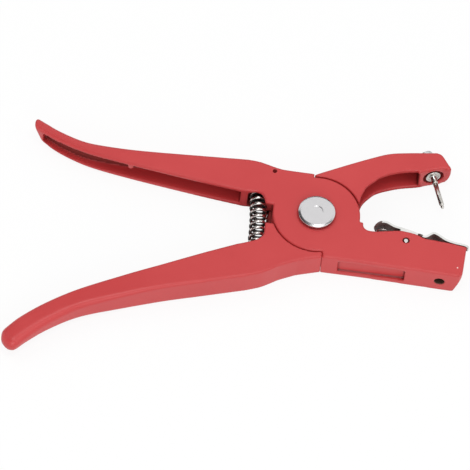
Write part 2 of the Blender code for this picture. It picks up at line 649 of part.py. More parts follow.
def coil(start, end, bow, diameter, wire, turns, per_turn, sides):
    """A compression spring between two places, one turn at each end wound close."""
    start, end = Vector(start), Vector(end)
    direction = (end - start).normalized()
    upright = Vector((0, 0, 1))
    across = upright.cross(direction)
    radius = (diameter - wire) / 2
    length = (end - start).length
    closed_pitch = wire + SEAT_GAP
    open_pitch = (length - wire - 2 * closed_pitch) / (turns - 2)
    rings = []
    count = round(turns * per_turn)
    for index in range(count + 1):
        turn = turns * index / count
        closed = min(turn, 1.0) + max(0.0, turn - (turns - 1.0))
        along = wire / 2 + closed_pitch * closed + open_pitch * (turn - closed)
        share = along / length
        angle = FULL_TURN * turn
        outward = across * math.cos(angle) + upright * math.sin(angle)
        bend = bow * (4 * share * (1 - share)) ** 2
        centre = start + direction * along + across * bend + outward * radius
        rings.append([centre + outward * x + direction * y
                      for x, y in arc(wire / 2, 0, 360, sides)[:-1]])
    return loft(rings)


def make_applicator_pin(material, pivot):
    """Stepped stainless pin with a seat flange, and a stud up through the jaw."""
    stud = PIN_STUD_DIAMETER / 2
    flange = PIN_FLANGE_DIAMETER / 2
    collar = PIN_COLLAR_DIAMETER / 2
    shaft = PIN_DIAMETER / 2
    top = -(jaw_height() + SEAT_GAP + NUT_WASHER_THICKNESS + SEAT_GAP + PIN_STUD_REACH)
    taper = PIN_LENGTH - PIN_POINT_LENGTH
    profile = [(0, top), (stud - 0.4, top), (stud, top + 0.4), (stud, -PIN_FLANGE_THICKNESS),
               (flange, -PIN_FLANGE_THICKNESS), (flange, 0), (collar, 0),
               (collar, PIN_COLLAR_LENGTH), (shaft, PIN_COLLAR_LENGTH + 0.5), (shaft, taper),
               (shaft * 0.72, taper + 0.3), (shaft * 0.6, PIN_LENGTH - 0.6), (0, PIN_LENGTH)]
    bm = placed(turned(profile, 20), (*PIN_SEAT, MID_Z), pin_axis())
    add_part("applicator_pin", bm, material, pivot)


def make_pin_nut(material, washer_material, pivot):
    """Washer and round nut that hold the applicator pin on top of the jaw."""
    bore = PIN_STUD_DIAMETER / 2 + PIN_BORE_CLEARANCE
    seat = jaw_height() + SEAT_GAP
    outer = NUT_WASHER_DIAMETER / 2
    washer = turned([(bore, seat), (outer, seat), (outer, seat + NUT_WASHER_THICKNESS),
                     (bore, seat + NUT_WASHER_THICKNESS)], 24)
    add_part("pin_nut_washer", placed(washer, (*PIN_SEAT, MID_Z), -pin_axis()), washer_material,
             pivot)
    low = seat + NUT_WASHER_THICKNESS + SEAT_GAP
    high = low + NUT_HEIGHT
    body = NUT_DIAMETER / 2
    nut = turned([(bore, low), (body, low), (body, high - 0.5), (body - 0.5, high), (bore, high)],
                 24)
    add_part("pin_nut", placed(nut, (*PIN_SEAT, MID_Z), -pin_axis()), material, pivot)


def sheet_outline(top_points, thickness, count):
    """Side view of a bent sheet: its top line and the same line a sheet lower."""
    top = smooth_curve(top_points, count)
    under = []
    for index, point in enumerate(top):
        before = top[max(index - 1, 0)]
        after = top[min(index + 1, count - 1)]
        along = (after - before).normalized()
        under.append(point + Vector((along.y, -along.x)) * thickness)
    return [(p.x, p.y) for p in top] + [(p.x, p.y) for p in reversed(under)]


def clip_plan():
    """Plan of the tag clip in X and Z: round thumb end, shoulders and a fork, shorter behind."""
    rear = CLIP_REAR_WIDTH / 2
    front = CLIP_FRONT_WIDTH / 2
    tip = CLIP_TOP[-1][0] + 1
    fork = CLIP_FORK_WIDTH / 2
    plan = arc(rear, 270, 90, 12, (CLIP_TOP[0][0] + rear, MID_Z))
    plan += [(CLIP_SHOULDER_X - 1.5, MID_Z + rear), (CLIP_SHOULDER_X, MID_Z + front),
             (tip, MID_Z + front), (tip, MID_Z + fork)]
    plan += arc(fork, 90, 270, 8, (CLIP_FORK_ROOT_X + fork, MID_Z))
    plan += [(CLIP_BACK_PRONG_X, MID_Z - fork), (CLIP_BACK_PRONG_X, MID_Z - front),
             (CLIP_SHOULDER_X, MID_Z - front), (CLIP_SHOULDER_X - 1.5, MID_Z - rear)]
    return plan


def make_tag_clip(material, pivot):
    """Bent sheet clip with a thumb end, two hinge ears and a forked front."""
    strip = prism(sheet_outline(CLIP_TOP, CLIP_SHEET, 34), -1, BODY_THICKNESS + 1)
    part = add_part("tag_clip", strip, material, pivot)
    combine(part, "plan", side_prism(clip_plan(), -14, 8), "INTERSECT")
    hinge_x, hinge_y = CLIP_HINGE
    ear = arc(CLIP_EAR_RADIUS, 180, 360, 8, CLIP_HINGE)
    ear += [(hinge_x + CLIP_EAR_SPREAD[1], clip_top_y(hinge_x + CLIP_EAR_SPREAD[1]) - 0.6),
            (hinge_x, clip_top_y(hinge_x) - 0.6),
            (hinge_x + CLIP_EAR_SPREAD[0], clip_top_y(hinge_x + CLIP_EAR_SPREAD[0]) - 0.6)]
    outside = CLIP_REAR_WIDTH / 2
    for name, side in (("front_ear", 1), ("back_ear", -1)):
        levels = sorted((MID_Z + side * outside, MID_Z + side * (outside - CLIP_SHEET)))
        combine(part, name, prism(ear, *levels), "UNION")
    combine(part, "pin_hole", placed(rod(CLIP_PIN_HOLE, 0, BODY_THICKNESS, 20),
                                     (hinge_x, hinge_y, 0), (0, 0, 1)))


def clip_top_y(x):
    """Height of the clip's top line at a place along the jaw."""
    curve = smooth_curve(CLIP_TOP, 201)
    return min(curve, key=lambda point: abs(point.x - x)).y


def clip_spring_top():
    """Height of the clip spring's upper end, clear of the bent sheet over its whole width."""
    half = CLIP_SPRING_DIAMETER / 2
    lowest = min(clip_top_y(CLIP_SPRING_X - half), clip_top_y(CLIP_SPRING_X + half))
    return lowest - 1.2 * CLIP_SHEET - SEAT_GAP


def make_clip_pin(material):
    """Plain hinge pin through the jaw's cheeks and the clip's ears."""
    pin = rod(CLIP_PIN_DIAMETER, CLIP_PIN_RECESS, BODY_THICKNESS - CLIP_PIN_RECESS, 20)
    add_part("clip_hinge_pin", placed(pin, (*CLIP_HINGE, 0), (0, 0, 1)), material)


def build():
    """Make every part."""
    clear_scene()
    paint = make_material("red_paint", (0.60, 0.08, 0.08), 0.42, 0.0)
    polished = make_material("polished_steel", (0.78, 0.78, 0.78), 0.18, 1.0)
    stainless = make_material("stainless_steel", (0.72, 0.71, 0.69), 0.28, 1.0)
    plated = make_material("nickel_plate", (0.80, 0.80, 0.79), 0.16, 1.0)
    spring_steel = make_material("spring_steel", (0.66, 0.65, 0.62), 0.26, 1.0)
    zinc = make_material("zinc_plate", (0.62, 0.63, 0.64), 0.35, 1.0)

    handle_pivot = add_pivot("handle_pivot", (0, 0, 0))
    clip_pivot = add_pivot("clip_pivot", (*CLIP_HINGE, MID_Z))

    make_clip_casting(paint)
    make_pin_casting(paint, handle_pivot)
    make_pivot_pin(polished)
    make_pivot_washer(zinc)
    make_retaining_ring(zinc)
    spring = coil((*SPRING_UPPER_END, MID_Z), (*SPRING_LOWER_END, MID_Z), SPRING_BOW,
                  SPRING_DIAMETER, SPRING_WIRE, SPRING_TURNS, 12, 8)
    add_part("return_spring", spring, spring_steel)
    make_applicator_pin(stainless, handle_pivot)
    make_pin_nut(plated, zinc, handle_pivot)
    make_tag_clip(plated, clip_pivot)
    make_clip_pin(stainless)
    spring = coil((CLIP_SPRING_X, CLIP_SPRING_FLOOR_Y, MID_Z),
                  (CLIP_SPRING_X, clip_spring_top(), MID_Z), 0.0, CLIP_SPRING_DIAMETER,
                  CLIP_SPRING_WIRE, CLIP_SPRING_TURNS, 10, 6)
    add_part("clip_spring", spring, spring_steel)


build()
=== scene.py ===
"""Ear tag applicator lying on its back on a pale table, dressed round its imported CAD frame.

Two painted castings cross in a half-lapped hub. The clip casting is the upper handle, the front
half of the hub and the lower jaw. The pin casting is the lower handle, the back half of the hub
and the upper jaw. Sizes are millimetres; a finished mesh is in metres, like the frame.
"""

from __future__ import annotations

import logging
import math
from collections.abc import Callable
from dataclasses import dataclass, field
from enum import Enum

import bmesh
import bpy
from mathutils import Matrix, Vector


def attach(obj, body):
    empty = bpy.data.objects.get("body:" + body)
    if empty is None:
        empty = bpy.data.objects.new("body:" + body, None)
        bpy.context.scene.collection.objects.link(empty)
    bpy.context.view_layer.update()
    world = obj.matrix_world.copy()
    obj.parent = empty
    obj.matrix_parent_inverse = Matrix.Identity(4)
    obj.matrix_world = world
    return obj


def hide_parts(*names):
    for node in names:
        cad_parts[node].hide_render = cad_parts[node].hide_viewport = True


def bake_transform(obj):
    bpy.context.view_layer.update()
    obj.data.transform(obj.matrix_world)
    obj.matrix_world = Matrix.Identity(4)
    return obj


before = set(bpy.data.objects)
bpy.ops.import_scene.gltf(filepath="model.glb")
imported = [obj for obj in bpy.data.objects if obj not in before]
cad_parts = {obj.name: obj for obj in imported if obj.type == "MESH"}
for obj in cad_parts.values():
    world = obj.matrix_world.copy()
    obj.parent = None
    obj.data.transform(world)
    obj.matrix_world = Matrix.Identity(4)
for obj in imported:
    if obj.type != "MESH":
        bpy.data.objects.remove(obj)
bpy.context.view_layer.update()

LOG = logging.getLogger("ear_tag_applicator")
MM = 0.001
FULL_TURN = 2 * math.pi
BODY = 16.0
MID = BODY / 2
HUB_RADIUS = 23.4
LAP_GAP = 0.3
SEAM = 0.6
SKIN = 0.01
NEAR_WALL = 0.35
NOSE_STEPS = (0.3, 0.52, 0.7, 0.83, 0.92, 0.975, 1.0)
DOME_STEPS = (0.0, 0.2, 0.4, 0.6, 0.8, 0.93, 1.0)
# Where painted shade starts on a coil's wire, and how fast it grows.
SHADE_START, SHADE_GAIN = 0.62, 2.6
PLAN_READS = 401
UNDERSIDE = "underside"
# Name of the vertex mark for painted shade in channels, pockets and holes.
HOLLOW_SHADE = "hollow_shade"

Point = tuple[float, float]
Triple = tuple[float, float, float]
Colour = tuple[float, float, float, float]
Ring = list[Vector]
Link = "Field | float | tuple[float, ...]"


class Cut(Enum):
    """How a second solid is combined with a casting."""

    AWAY = "DIFFERENCE"
    JOINED = "UNION"


class Field:
    """A shader value that adds its own Math nodes when it is used in an expression."""

    def __init__(self, book: "NodeBook", socket: bpy.types.NodeSocket) -> None:
        """Wrap one output socket.

        Args:
            book: The node book that holds the socket's tree.
            socket: The output to wrap.
        """
        self.book = book
        self.socket = socket

    def _math(self, operation: str, *values: Link) -> "Field":
        """Add one Math node.

        Args:
            operation: The node's operation.
            values: Its inputs in order.

        Returns:
            The node's result.
        """
        inputs = dict(enumerate(values))
        return self.book.node("ShaderNodeMath", {"operation": operation}, inputs)

    def __add__(self, other: Link) -> "Field":
        """Sum of two values."""
        return self._math("ADD", self, other)

    def __radd__(self, other: Link) -> "Field":
        """Sum with a number on the left."""
        return self._math("ADD", other, self)

    def __sub__(self, other: Link) -> "Field":
        """Difference of two values."""
        return self._math("SUBTRACT", self, other)

    def __rsub__(self, other: Link) -> "Field":
        """Difference from a number on the left."""
        return self._math("SUBTRACT", other, self)

    def __mul__(self, other: Link) -> "Field":
        """Product of two values."""
        return self._math("MULTIPLY", self, other)

    def __rmul__(self, other: Link) -> "Field":
        """Product with a number on the left."""
        return self._math("MULTIPLY", other, self)

    def below(self, limit: Link) -> "Field":
        """One where the value is under a limit."""
        return self._math("LESS_THAN", self, limit)

    def clipped(self) -> "Field":
        """The value held between 0 and 1."""
        return self._math("MINIMUM", self._math("MAXIMUM", self, 0.0), 1.0)

    def ramp(self, start: float, gain: float) -> "Field":
        """0 up to a start, then rising by a gain to 1."""
        return ((self - start) * gain).clipped()

    def highest(self, other: Link) -> "Field":
        """The greater of two values."""
        return self._math("MAXIMUM", self, other)


class NodeBook:
    """One node tree, with the few calls that every finish here uses."""

    def __init__(self, owner: bpy.types.Material | bpy.types.World) -> None:
        """Start with an empty tree.

        Args:
            owner: The material or world that the nodes belong to.
        """
        owner.use_nodes = True
        self.owner = owner
        self.tree = owner.node_tree
        self.tree.nodes.clear()

    @classmethod
    def named(cls, name: str) -> "NodeBook":
        """The book of a new material."""
        return cls(bpy.data.materials.new(name))

    def node(self, kind: str, settings: dict[str, object] | None = None,
             inputs: dict[str | int, Link] | None = None, output: str | int = 0) -> Field:
        """Add one node.

        Args:
            kind: The node's type.
            settings: Its properties, set before its sockets are.
            inputs: Values or links by socket name or index.
            output: The output that is handed back.

        Returns:
            The chosen output.
        """
        made = self.tree.nodes.new(kind)
        for key, value in (settings or {}).items():
            setattr(made, key, value)
        for key, value in (inputs or {}).items():
            if isinstance(value, Field):
                self.tree.links.new(value.socket, made.inputs[key])
            else:
                made.inputs[key].default_value = value
        return Field(self, made.outputs[output] if made.outputs else None)

    def place(self) -> Field:
        """Object coordinates, in metres from the frame's origin."""
        return self.node("ShaderNodeTexCoord", output="Object")

    def noise(self, scale: float, detail: float = 2.0) -> Field:
        """Cloud noise on object coordinates, with its cells to the metre and its octaves."""
        return self.node("ShaderNodeTexNoise", {}, {"Vector": self.place(), "Scale": scale,
                                                    "Detail": detail})

    def attribute(self, name: str) -> Field:
        """A number that the mesh carries."""
        return self.node("ShaderNodeAttribute", {"attribute_name": name}, output="Fac")

    def apart(self, first: Link, second: Link) -> Field:
        """Distance between two places."""
        return self.node("ShaderNodeVectorMath", {"operation": "DISTANCE"}, {0: first, 1: second}, "Value")

    def seen(self) -> Field:
        """Find the rays that show a plain backdrop: the camera's, mirrored and transmitted ones.

        Returns:
            1 on those rays and 0 on the others.
        """
        names = ("Is Camera Ray", "Is Glossy Ray", "Is Transmission Ray")
        camera, glossy, clear = (self.node("ShaderNodeLightPath", output=name) for name in names)
        return camera.highest(glossy).highest(clear)

    def blend(self, share: Link, first: Link, second: Link) -> Field:
        """Mix two colours.

        Args:
            share: How much of the second.
            first: The first colour.
            second: The second colour.

        Returns:
            The mixed colour.
        """
        return self.node("ShaderNodeMix", {"data_type": "RGBA"}, {0: share, 6: first, 7: second}, 2)

    def bump(self, height: Field, depth_mm: float, strength: float = 1.0) -> Field:
        """A bumped normal.

        Args:
            height: The height, from 0 to 1.
            depth_mm: How far 1 stands out.
            strength: The bump's strength.

        Returns:
            The normal.
        """
        return self.node("ShaderNodeBump", {}, {"Height": height, "Distance": depth_mm * MM,
                                                "Strength": strength})

    def principled(self, inputs: dict[str | int, Link]) -> Field:
        """A Principled shader."""
        return self.node("ShaderNodeBsdfPrincipled", {}, inputs)

    def mixed(self, share: Link, first: Field, second: Field) -> Field:
        """Two shaders in one, with how much of the second."""
        return self.node("ShaderNodeMixShader", {}, {0: share, 1: first, 2: second})

    def finished(self, shader: Field, output: str = "Material") -> bpy.types.Material | bpy.types.World:
        """Send a shader to the tree's output and hand back its owner."""
        self.node(f"ShaderNodeOutput{output}", {}, {"Surface": shader})
        return self.owner


def grey(level: float) -> Colour:
    """A neutral colour."""
    return (level, level, level, 1.0)


@dataclass(frozen=True)
class SatinPaint:
    """Stoved red paint on cast aluminium: faint orange peel, one chip, painted shade on edges, creases and
    recesses, and an anvil hole painted dark brown.
    """

    name: str = "satin_red_paint"
    colour: Colour = (0.560, 0.048, 0.049, 1.0)
    deep: Colour = (0.525, 0.039, 0.041, 1.0)
    # Painted shade: a darker red for convex edges, standing in for the dark line along their rounding.
    edge: Colour = (0.440, 0.022, 0.024, 1.0)
    # Painted shade: near black red for concave creases and the seams between parts.
    crease_shade: Colour = (0.110, 0.004, 0.004, 1.0)
    # Painted shade: dark red for the walls of channels, pockets and holes.
    hollow_shade: Colour = (0.190, 0.028, 0.025, 1.0)
    primer: Colour = (0.82, 0.58, 0.54, 1.0)
    # Dark brown painted on the anvil hole's wall and rim.
    anvil_hole_dark: Colour = (0.075, 0.042, 0.028, 1.0)
    roughness: float = 0.40
    specular: float = 0.50
    matt_specular: float = 0.05
    anvil_mm: tuple[float, float] = (69.1, 8.0)
    anvil_radius_mm: float = 3.0
    peel_per_metre: float = 900.0
    chip_mm: Triple = (77.8, -23.2, 16.0)
    chip_radius_mm: float = 0.42

    def made(self) -> bpy.types.Material:
        """Build the paint.

        Returns:
            The material.
        """
        book = NodeBook.named(self.name)
        clouds = book.noise(28.0, 3.0)
        colour = book.blend(clouds.ramp(0.4, 2.2), self.deep, self.colour)
        # Painted shade: convex edges, found by pointiness, are darkened towards the edge colour.
        convexity = book.node("ShaderNodeNewGeometry", output="Pointiness")
        colour = book.blend(convexity.ramp(0.510, 22.0) * 0.7, colour, self.edge)
        # Painted shade: the marked walls in channels, pockets and holes turn dark red, with some cloud
        # noise.
        cored = book.attribute(HOLLOW_SHADE)
        colour = book.blend(cored * (0.8 + clouds * 0.3).clipped(), colour, self.hollow_shade)
        # Painted shade: concave creases and seams, found by low pointiness, turn near black red.
        colour = book.blend(((0.491 - convexity) * 26.0).clipped() * 0.9, colour, self.crease_shade)
        ragged = book.noise(2600.0)
        apart = book.apart(book.place(), tuple(c * MM for c in self.chip_mm))
        chip = (apart + (ragged - 0.5) * (0.4 * MM)).below(self.chip_radius_mm * MM)
        colour = book.blend(chip, colour, self.primer)
        # The anvil hole's wall and its rim in the lower jaw are painted dark brown.
        level = book.node("ShaderNodeVectorMath", {"operation": "MULTIPLY"},
                          {0: book.place(), 1: (1.0, 0.0, 1.0)})
        apart = book.apart(level, (self.anvil_mm[0] * MM, 0.0, self.anvil_mm[1] * MM))
        lower_jaw = book.node("ShaderNodeSeparateXYZ", {}, {0: book.place()}, "Y").below(0.0)
        anvil_hole_mask = ((self.anvil_radius_mm * MM - apart) * 3000.0).clipped() * lower_jaw
        colour = book.blend(anvil_hole_mask, colour, self.anvil_hole_dark)
        peel, waves = book.noise(self.peel_per_metre), book.noise(190.0, 1.0)
        rough = self.roughness + (peel - 0.5) * 0.10 + (clouds - 0.5) * 0.10 + cored * 0.35
        normal = book.bump(peel * 0.6 + waves * 0.4 - chip * 0.5, 0.045, 0.55)
        inputs = {"Base Color": colour, "Roughness": rough, "Normal": normal}
        gloss = book.principled({**inputs, "Specular IOR Level": self.specular})
        matt = book.principled({**inputs, "Specular IOR Level": self.matt_specular})
        # Painted shade: the marked walls also lose most of the paint's gloss.
        return book.finished(book.mixed(cored * 0.9, gloss, matt))


@dataclass(frozen=True)
class TurnedSteel:
    """Lathe-turned bright steel with fine rings round an axis along Z."""

    name: str
    colour: Colour = (0.69, 0.68, 0.69, 1.0)
    roughness: float = 0.24
    rings_per_metre: float = 620.0

    def made(self) -> bpy.types.Material:
        """Build the steel.

        Returns:
            The material.
        """
        book = NodeBook.named(self.name)
        rings = book.node("ShaderNodeTexWave", {"wave_type": "RINGS", "rings_direction": "Z"},
                          {"Vector": book.place(), "Scale": self.rings_per_metre, "Distortion": 0.6,
                           "Detail": 2.0}, "Fac")
        smudge, specks = book.noise(240.0, 4.0), book.noise(3000.0)
        shade = (*(0.86 * channel for channel in self.colour[:3]), 1.0)
        colour = book.blend((smudge * 0.5).clipped(), self.colour, shade)
        rough = self.roughness + (smudge - 0.5) * 0.16 + (specks - 0.5) * 0.05
        normal = book.bump(rings * 0.6 + specks * 0.4, 0.006, 0.5)
        return book.finished(book.principled({"Base Color": colour, "Metallic": 1.0, "Roughness": rough,
                                              "Normal": normal}))


@dataclass(frozen=True)
class DrawnSteel:
    """Drawn wire or rolled sheet, with fine grain, oily smudges and painted shade on the side that the mesh
    marks as its underside.
    """

    name: str
    colour: Colour = (0.66, 0.65, 0.63, 1.0)
    stain: Colour = (0.40, 0.385, 0.36, 1.0)
    roughness: float = 0.22
    stain_share: float = 0.5
    grain_per_metre: float = 900.0
    # Painted shade for the marked underside.
    painted_shade: Colour = (0.10, 0.045, 0.035, 1.0)

    def made(self) -> bpy.types.Material:
        """Build the metal.

        Returns:
            The material.
        """
        book = NodeBook.named(self.name)
        smudge, grain = book.noise(260.0, 4.0), book.noise(self.grain_per_metre, 3.0)
        colour = book.blend(smudge.ramp(0.48, 3.0) * self.stain_share, self.colour, self.stain)
        # Painted shade: the marked underside turns dark, rougher and less metallic.
        shade_mask = book.attribute(UNDERSIDE) * (0.72 + smudge * 0.4).clipped()
        colour = book.blend(shade_mask, colour, self.painted_shade)
        rough = self.roughness + (smudge - 0.5) * 0.18 + (grain - 0.5) * 0.08 + shade_mask * 0.25
        return book.finished(book.principled({
            "Base Color": colour, "Metallic": 1.0 - shade_mask * 0.7, "Roughness": rough,
            "Normal": book.bump(grain, 0.010, 0.4)}))


@dataclass(frozen=True)
class PaleTable:
    """White table that shows as white to the camera and keeps a light shadow."""

    name: str = "pale_table"
    white: float = 0.90
    glow_share: float = 0.89

    def made(self) -> bpy.types.Material:
        """Build the table's surface.

        Returns:
            The material.
        """
        book = NodeBook.named(self.name)
        grain = book.noise(40.0, 3.0)
        plain = book.principled({"Base Color": grey(self.white), "Roughness": 0.7 + (grain - 0.5) * 0.1,
                                 "Specular IOR Level": 0.2})
        glow = book.node("ShaderNodeEmission", {}, {"Color": grey(1.0), "Strength": 1.0})
        return book.finished(book.mixed(book.seen() * self.glow_share, plain, glow))


@dataclass(frozen=True)
class DarkCard:
    """Matt card that only reflections see."""

    name: str = "dark_card"
    level: float = 0.03

    def made(self) -> bpy.types.Material:
        """Build the card's surface.

        Returns:
            The material.
        """
        book = NodeBook.named(self.name)
        return book.finished(book.principled({"Base Color": grey(self.level), "Roughness": 0.9,
                                              "Specular IOR Level": 0.0}))


def arc(radius: float, start: float, end: float, steps: int, centre: Point = (0.0, 0.0)) -> list[Point]:
    """Points on an arc, both ends included.

    Args:
        radius: The arc's radius.
        start: First angle in degrees.
        end: Last angle in degrees.
        steps: Number of chords.
        centre: The arc's centre.

    Returns:
        The points.
    """
    points = []
    for index in range(steps + 1):
        angle = math.radians(start + (end - start) * index / steps)
        points.append((centre[0] + radius * math.cos(angle), centre[1] + radius * math.sin(angle)))
    return points


def curve(points: list[Point], count: int) -> list[Vector]:
    """A Catmull-Rom curve through points, read at even distances.

    Args:
        points: What the curve goes through.
        count: How many places are read.

    Returns:
        The places.
    """
    knots = [Vector(point) for point in points]
    knots = [2 * knots[0] - knots[1], *knots, 2 * knots[-1] - knots[-2]]
    dense = []
    for a, b, c, d in zip(knots, knots[1:], knots[2:], knots[3:]):
        for step in range(24):
            t = step / 24
            dense.append(0.5 * (2 * b + (c - a) * t + (2 * a - 5 * b + 4 * c - d) * t ** 2
                                + (3 * b - a - 3 * c + d) * t ** 3))
    dense.append(knots[-2])
    travelled = [0.0]
    for before, after in zip(dense, dense[1:]):
        travelled.append(travelled[-1] + (after - before).length)
    result, place = [], 0
    for index in range(count):
        target = travelled[-1] * index / (count - 1)
        while place < len(dense) - 2 and travelled[place + 1] < target:
            place += 1
        share = (target - travelled[place]) / (travelled[place + 1] - travelled[place])
        result.append(dense[place].lerp(dense[place + 1], share))
    return result


def pairs(points: list[Point], count: int) -> list[Point]:
    """Plain pairs read at even distances on the curve through points."""
    return [(place.x, place.y) for place in curve(points, count)]


def washer(inner: float, outer: float, low: float, high: float, under: float, over: float) -> list[Point]:
    """Radius and height of a ring, with the chamfers on its outer edge under and over it."""
    return [(inner, low), (outer - under, low), (outer, low + under), (outer, high - over),
            (outer - over, high), (inner, high)]


def stand(name: str, data: bpy.types.ID) -> bpy.types.Object:
    """Make an object and put it into the scene.

    Args:
        name: The object's name.
        data: Its mesh, lamp or camera.

    Returns:
        The object.
    """
    made = bpy.data.objects.new(name, data)
    bpy.context.scene.collection.objects.link(made)
    return made


def mesh_of(bm: bmesh.types.BMesh, name: str) -> bpy.types.Mesh:
    """Turn a bmesh into a mesh and free it.

    Args:
        bm: What was drawn.
        name: The mesh's name.

    Returns:
        The mesh.
    """
    mesh = bpy.data.meshes.new(name)
    bm.to_mesh(mesh)
    bm.free()
    return mesh


def flat(name: str, where: Matrix, size: Point, material: bpy.types.Material) -> bpy.types.Object:
    """Make a flat rectangle that belongs to the studio.

    Args:
        name: The object's name.
        where: Its place and turn.
        size: Its width and height, in metres.
        material: Its surface.

    Returns:
        The object.
    """
    bm = bmesh.new()
    bmesh.ops.create_grid(bm, x_segments=1, y_segments=1, size=0.5)
    bmesh.ops.scale(bm, verts=bm.verts, vec=(*size, 1))
    bmesh.ops.transform(bm, matrix=where, verts=bm.verts)
    made = stand(name, mesh_of(bm, name))
    made.data.materials.append(material)
    return made


class Solid:
    """A millimetre bmesh and the few moves that shape every piece here."""

    def __init__(self) -> None:
        """Start with nothing."""
        self.bm = bmesh.new()

    @classmethod
    def prism(cls, outline: list[Point], low: float, high: float, rim: float = 0.0,
              segments: int = 3) -> "Solid":
        """Extrude a plan outline and round its rims.

        Args:
            outline: The plan.
            low: Lower height.
            high: Upper height.
            rim: Radius of the rims, or 0 for sharp ones.
            segments: Chords in each rim.

        Returns:
            The solid.
        """
        solid = cls()
        bm = solid.bm
        base = bm.faces.new([bm.verts.new((x, y, low)) for x, y in outline])
        grown = bmesh.ops.extrude_face_region(bm, geom=[base])["geom"]
        risen = [item for item in grown if isinstance(item, bmesh.types.BMVert)]
        bmesh.ops.translate(bm, verts=risen, vec=(0, 0, high - low))
        bmesh.ops.recalc_face_normals(bm, faces=bm.faces)
        if rim > 0:
            edges = [e for e in bm.edges if abs(e.verts[0].co.z - e.verts[1].co.z) < 1e-6]
            bmesh.ops.bevel(bm, geom=edges, offset=rim, segments=segments, profile=0.5,
                            affect="EDGES", material=-1)
        return solid

    @classmethod
    def side(cls, outline: list[Point], low_y: float, high_y: float) -> "Solid":
        """Extrude an outline drawn in X and Z along Y.

        Args:
            outline: The side view.
            low_y: Where it starts.
            high_y: Where it ends.

        Returns:
            The solid.
        """
        solid = cls.prism(outline, low_y, high_y)
        turn = Matrix.Rotation(math.pi / 2, 3, "X")
        bmesh.ops.rotate(solid.bm, verts=solid.bm.verts, cent=(0, 0, 0), matrix=turn)
        bmesh.ops.scale(solid.bm, verts=solid.bm.verts, vec=(1, -1, 1))
        return solid

    @classmethod
    def turned(cls, profile: list[Point], steps: int) -> "Solid":
        """Spin a profile of radius and height round +Z.

        Args:
            profile: The points; a first radius above 0 makes a ring.
            steps: Facets in the turn.

        Returns:
            The solid.
        """
        solid = cls()
        bm = solid.bm
        verts = [bm.verts.new((radius, 0, height)) for radius, height in profile]
        edges = [bm.edges.new(pair) for pair in zip(verts, verts[1:])]
        if profile[0][0] > 0:
            edges.append(bm.edges.new((verts[-1], verts[0])))
        bmesh.ops.spin(bm, geom=verts + edges, cent=(0, 0, 0), axis=(0, 0, 1), angle=FULL_TURN,
                       steps=steps, use_merge=True)
        bmesh.ops.remove_doubles(bm, verts=bm.verts, dist=1e-4)
        bmesh.ops.recalc_face_normals(bm, faces=bm.faces)
        return solid

    @classmethod
    def rod(cls, diameter: float, low: float, high: float, steps: int = 48) -> "Solid":
        """A plain cylinder on +Z."""
        return cls.turned([(0, low), (diameter / 2, low), (diameter / 2, high), (0, high)], steps)

    @classmethod
    def post(cls, diameter: float, low: float, high: float, place: Point, steps: int) -> "Solid":
        """A plain cylinder that stands upright at a place in plan."""
        return cls.rod(diameter, low, high, steps).placed((*place, 0), (0, 0, 1))

    @classmethod
    def loft(cls, rings: list[Ring]) -> "Solid":
        """Skin a row of rings and close both ends.

        Args:
            rings: Rings with equal numbers of points.

        Returns:
            The solid.
        """
        solid = cls()
        bm = solid.bm
        loops = []
        for ring in rings:
            verts = [bm.verts.new(point) for point in ring]
            loops.append([bm.edges.new((verts[i - 1], verts[i])) for i in range(len(verts))])
        for first, second in zip(loops, loops[1:]):
            bmesh.ops.bridge_loops(bm, edges=first + second)
        for end in (loops[0], loops[-1]):
            bmesh.ops.edgeloop_fill(bm, edges=end)
        bmesh.ops.recalc_face_normals(bm, faces=bm.faces)
        return solid

    def placed(self, place: Triple, axis: Triple | Vector) -> "Solid":
        """Stand a shape made on +Z at a place along an axis.

        Args:
            place: Where its own origin goes.
            axis: Where its +Z points.

        Returns:
            The same solid.
        """
        turn = Vector((0, 0, 1)).rotation_difference(Vector(axis)).to_matrix().to_4x4()
        bmesh.ops.transform(self.bm, matrix=Matrix.Translation(place) @ turn, verts=self.bm.verts)
        return self

    def piece(self, name: str, crease: float = 35.0) -> bpy.types.Object:
        """Turn the solid into an object in metres.

        Args:
            name: The object's name.
            crease: Angle in degrees above which an edge stays sharp.

        Returns:
            The object, at the origin.
        """
        bmesh.ops.recalc_face_normals(self.bm, faces=self.bm.faces)
        bmesh.ops.scale(self.bm, verts=self.bm.verts, vec=(MM, MM, MM))
        mesh = mesh_of(self.bm, name)
        mesh.shade_smooth()
        mesh.set_sharp_from_angle(angle=math.radians(crease))
        return stand(name, mesh)


def settle(piece: bpy.types.Object) -> None:
    """Make a piece's modifiers part of its mesh.

    Args:
        piece: The piece.
    """
    graph = bpy.context.evaluated_depsgraph_get()
    mesh = bpy.data.meshes.new_from_object(piece.evaluated_get(graph))
    piece.modifiers.clear()
    piece.data = mesh


def combine(piece: bpy.types.Object, cuts: list[tuple[Cut, Solid]]) -> None:
    """Combine solids with a piece, one after another.

    Args:
        piece: The piece to work on.
        cuts: What is done and with which solid.
    """
    tools = []
    for number, (kind, solid) in enumerate(cuts):
        tool = solid.piece(f"{piece.name}_tool_{number}")
        modifier = piece.modifiers.new(f"cut_{number}", "BOOLEAN")
        modifier.operation = kind.value
        modifier.solver = "EXACT"
        modifier.object = tool
        tools.append(tool)
    settle(piece)
    for tool in tools:
        bpy.data.objects.remove(tool, do_unlink=True)


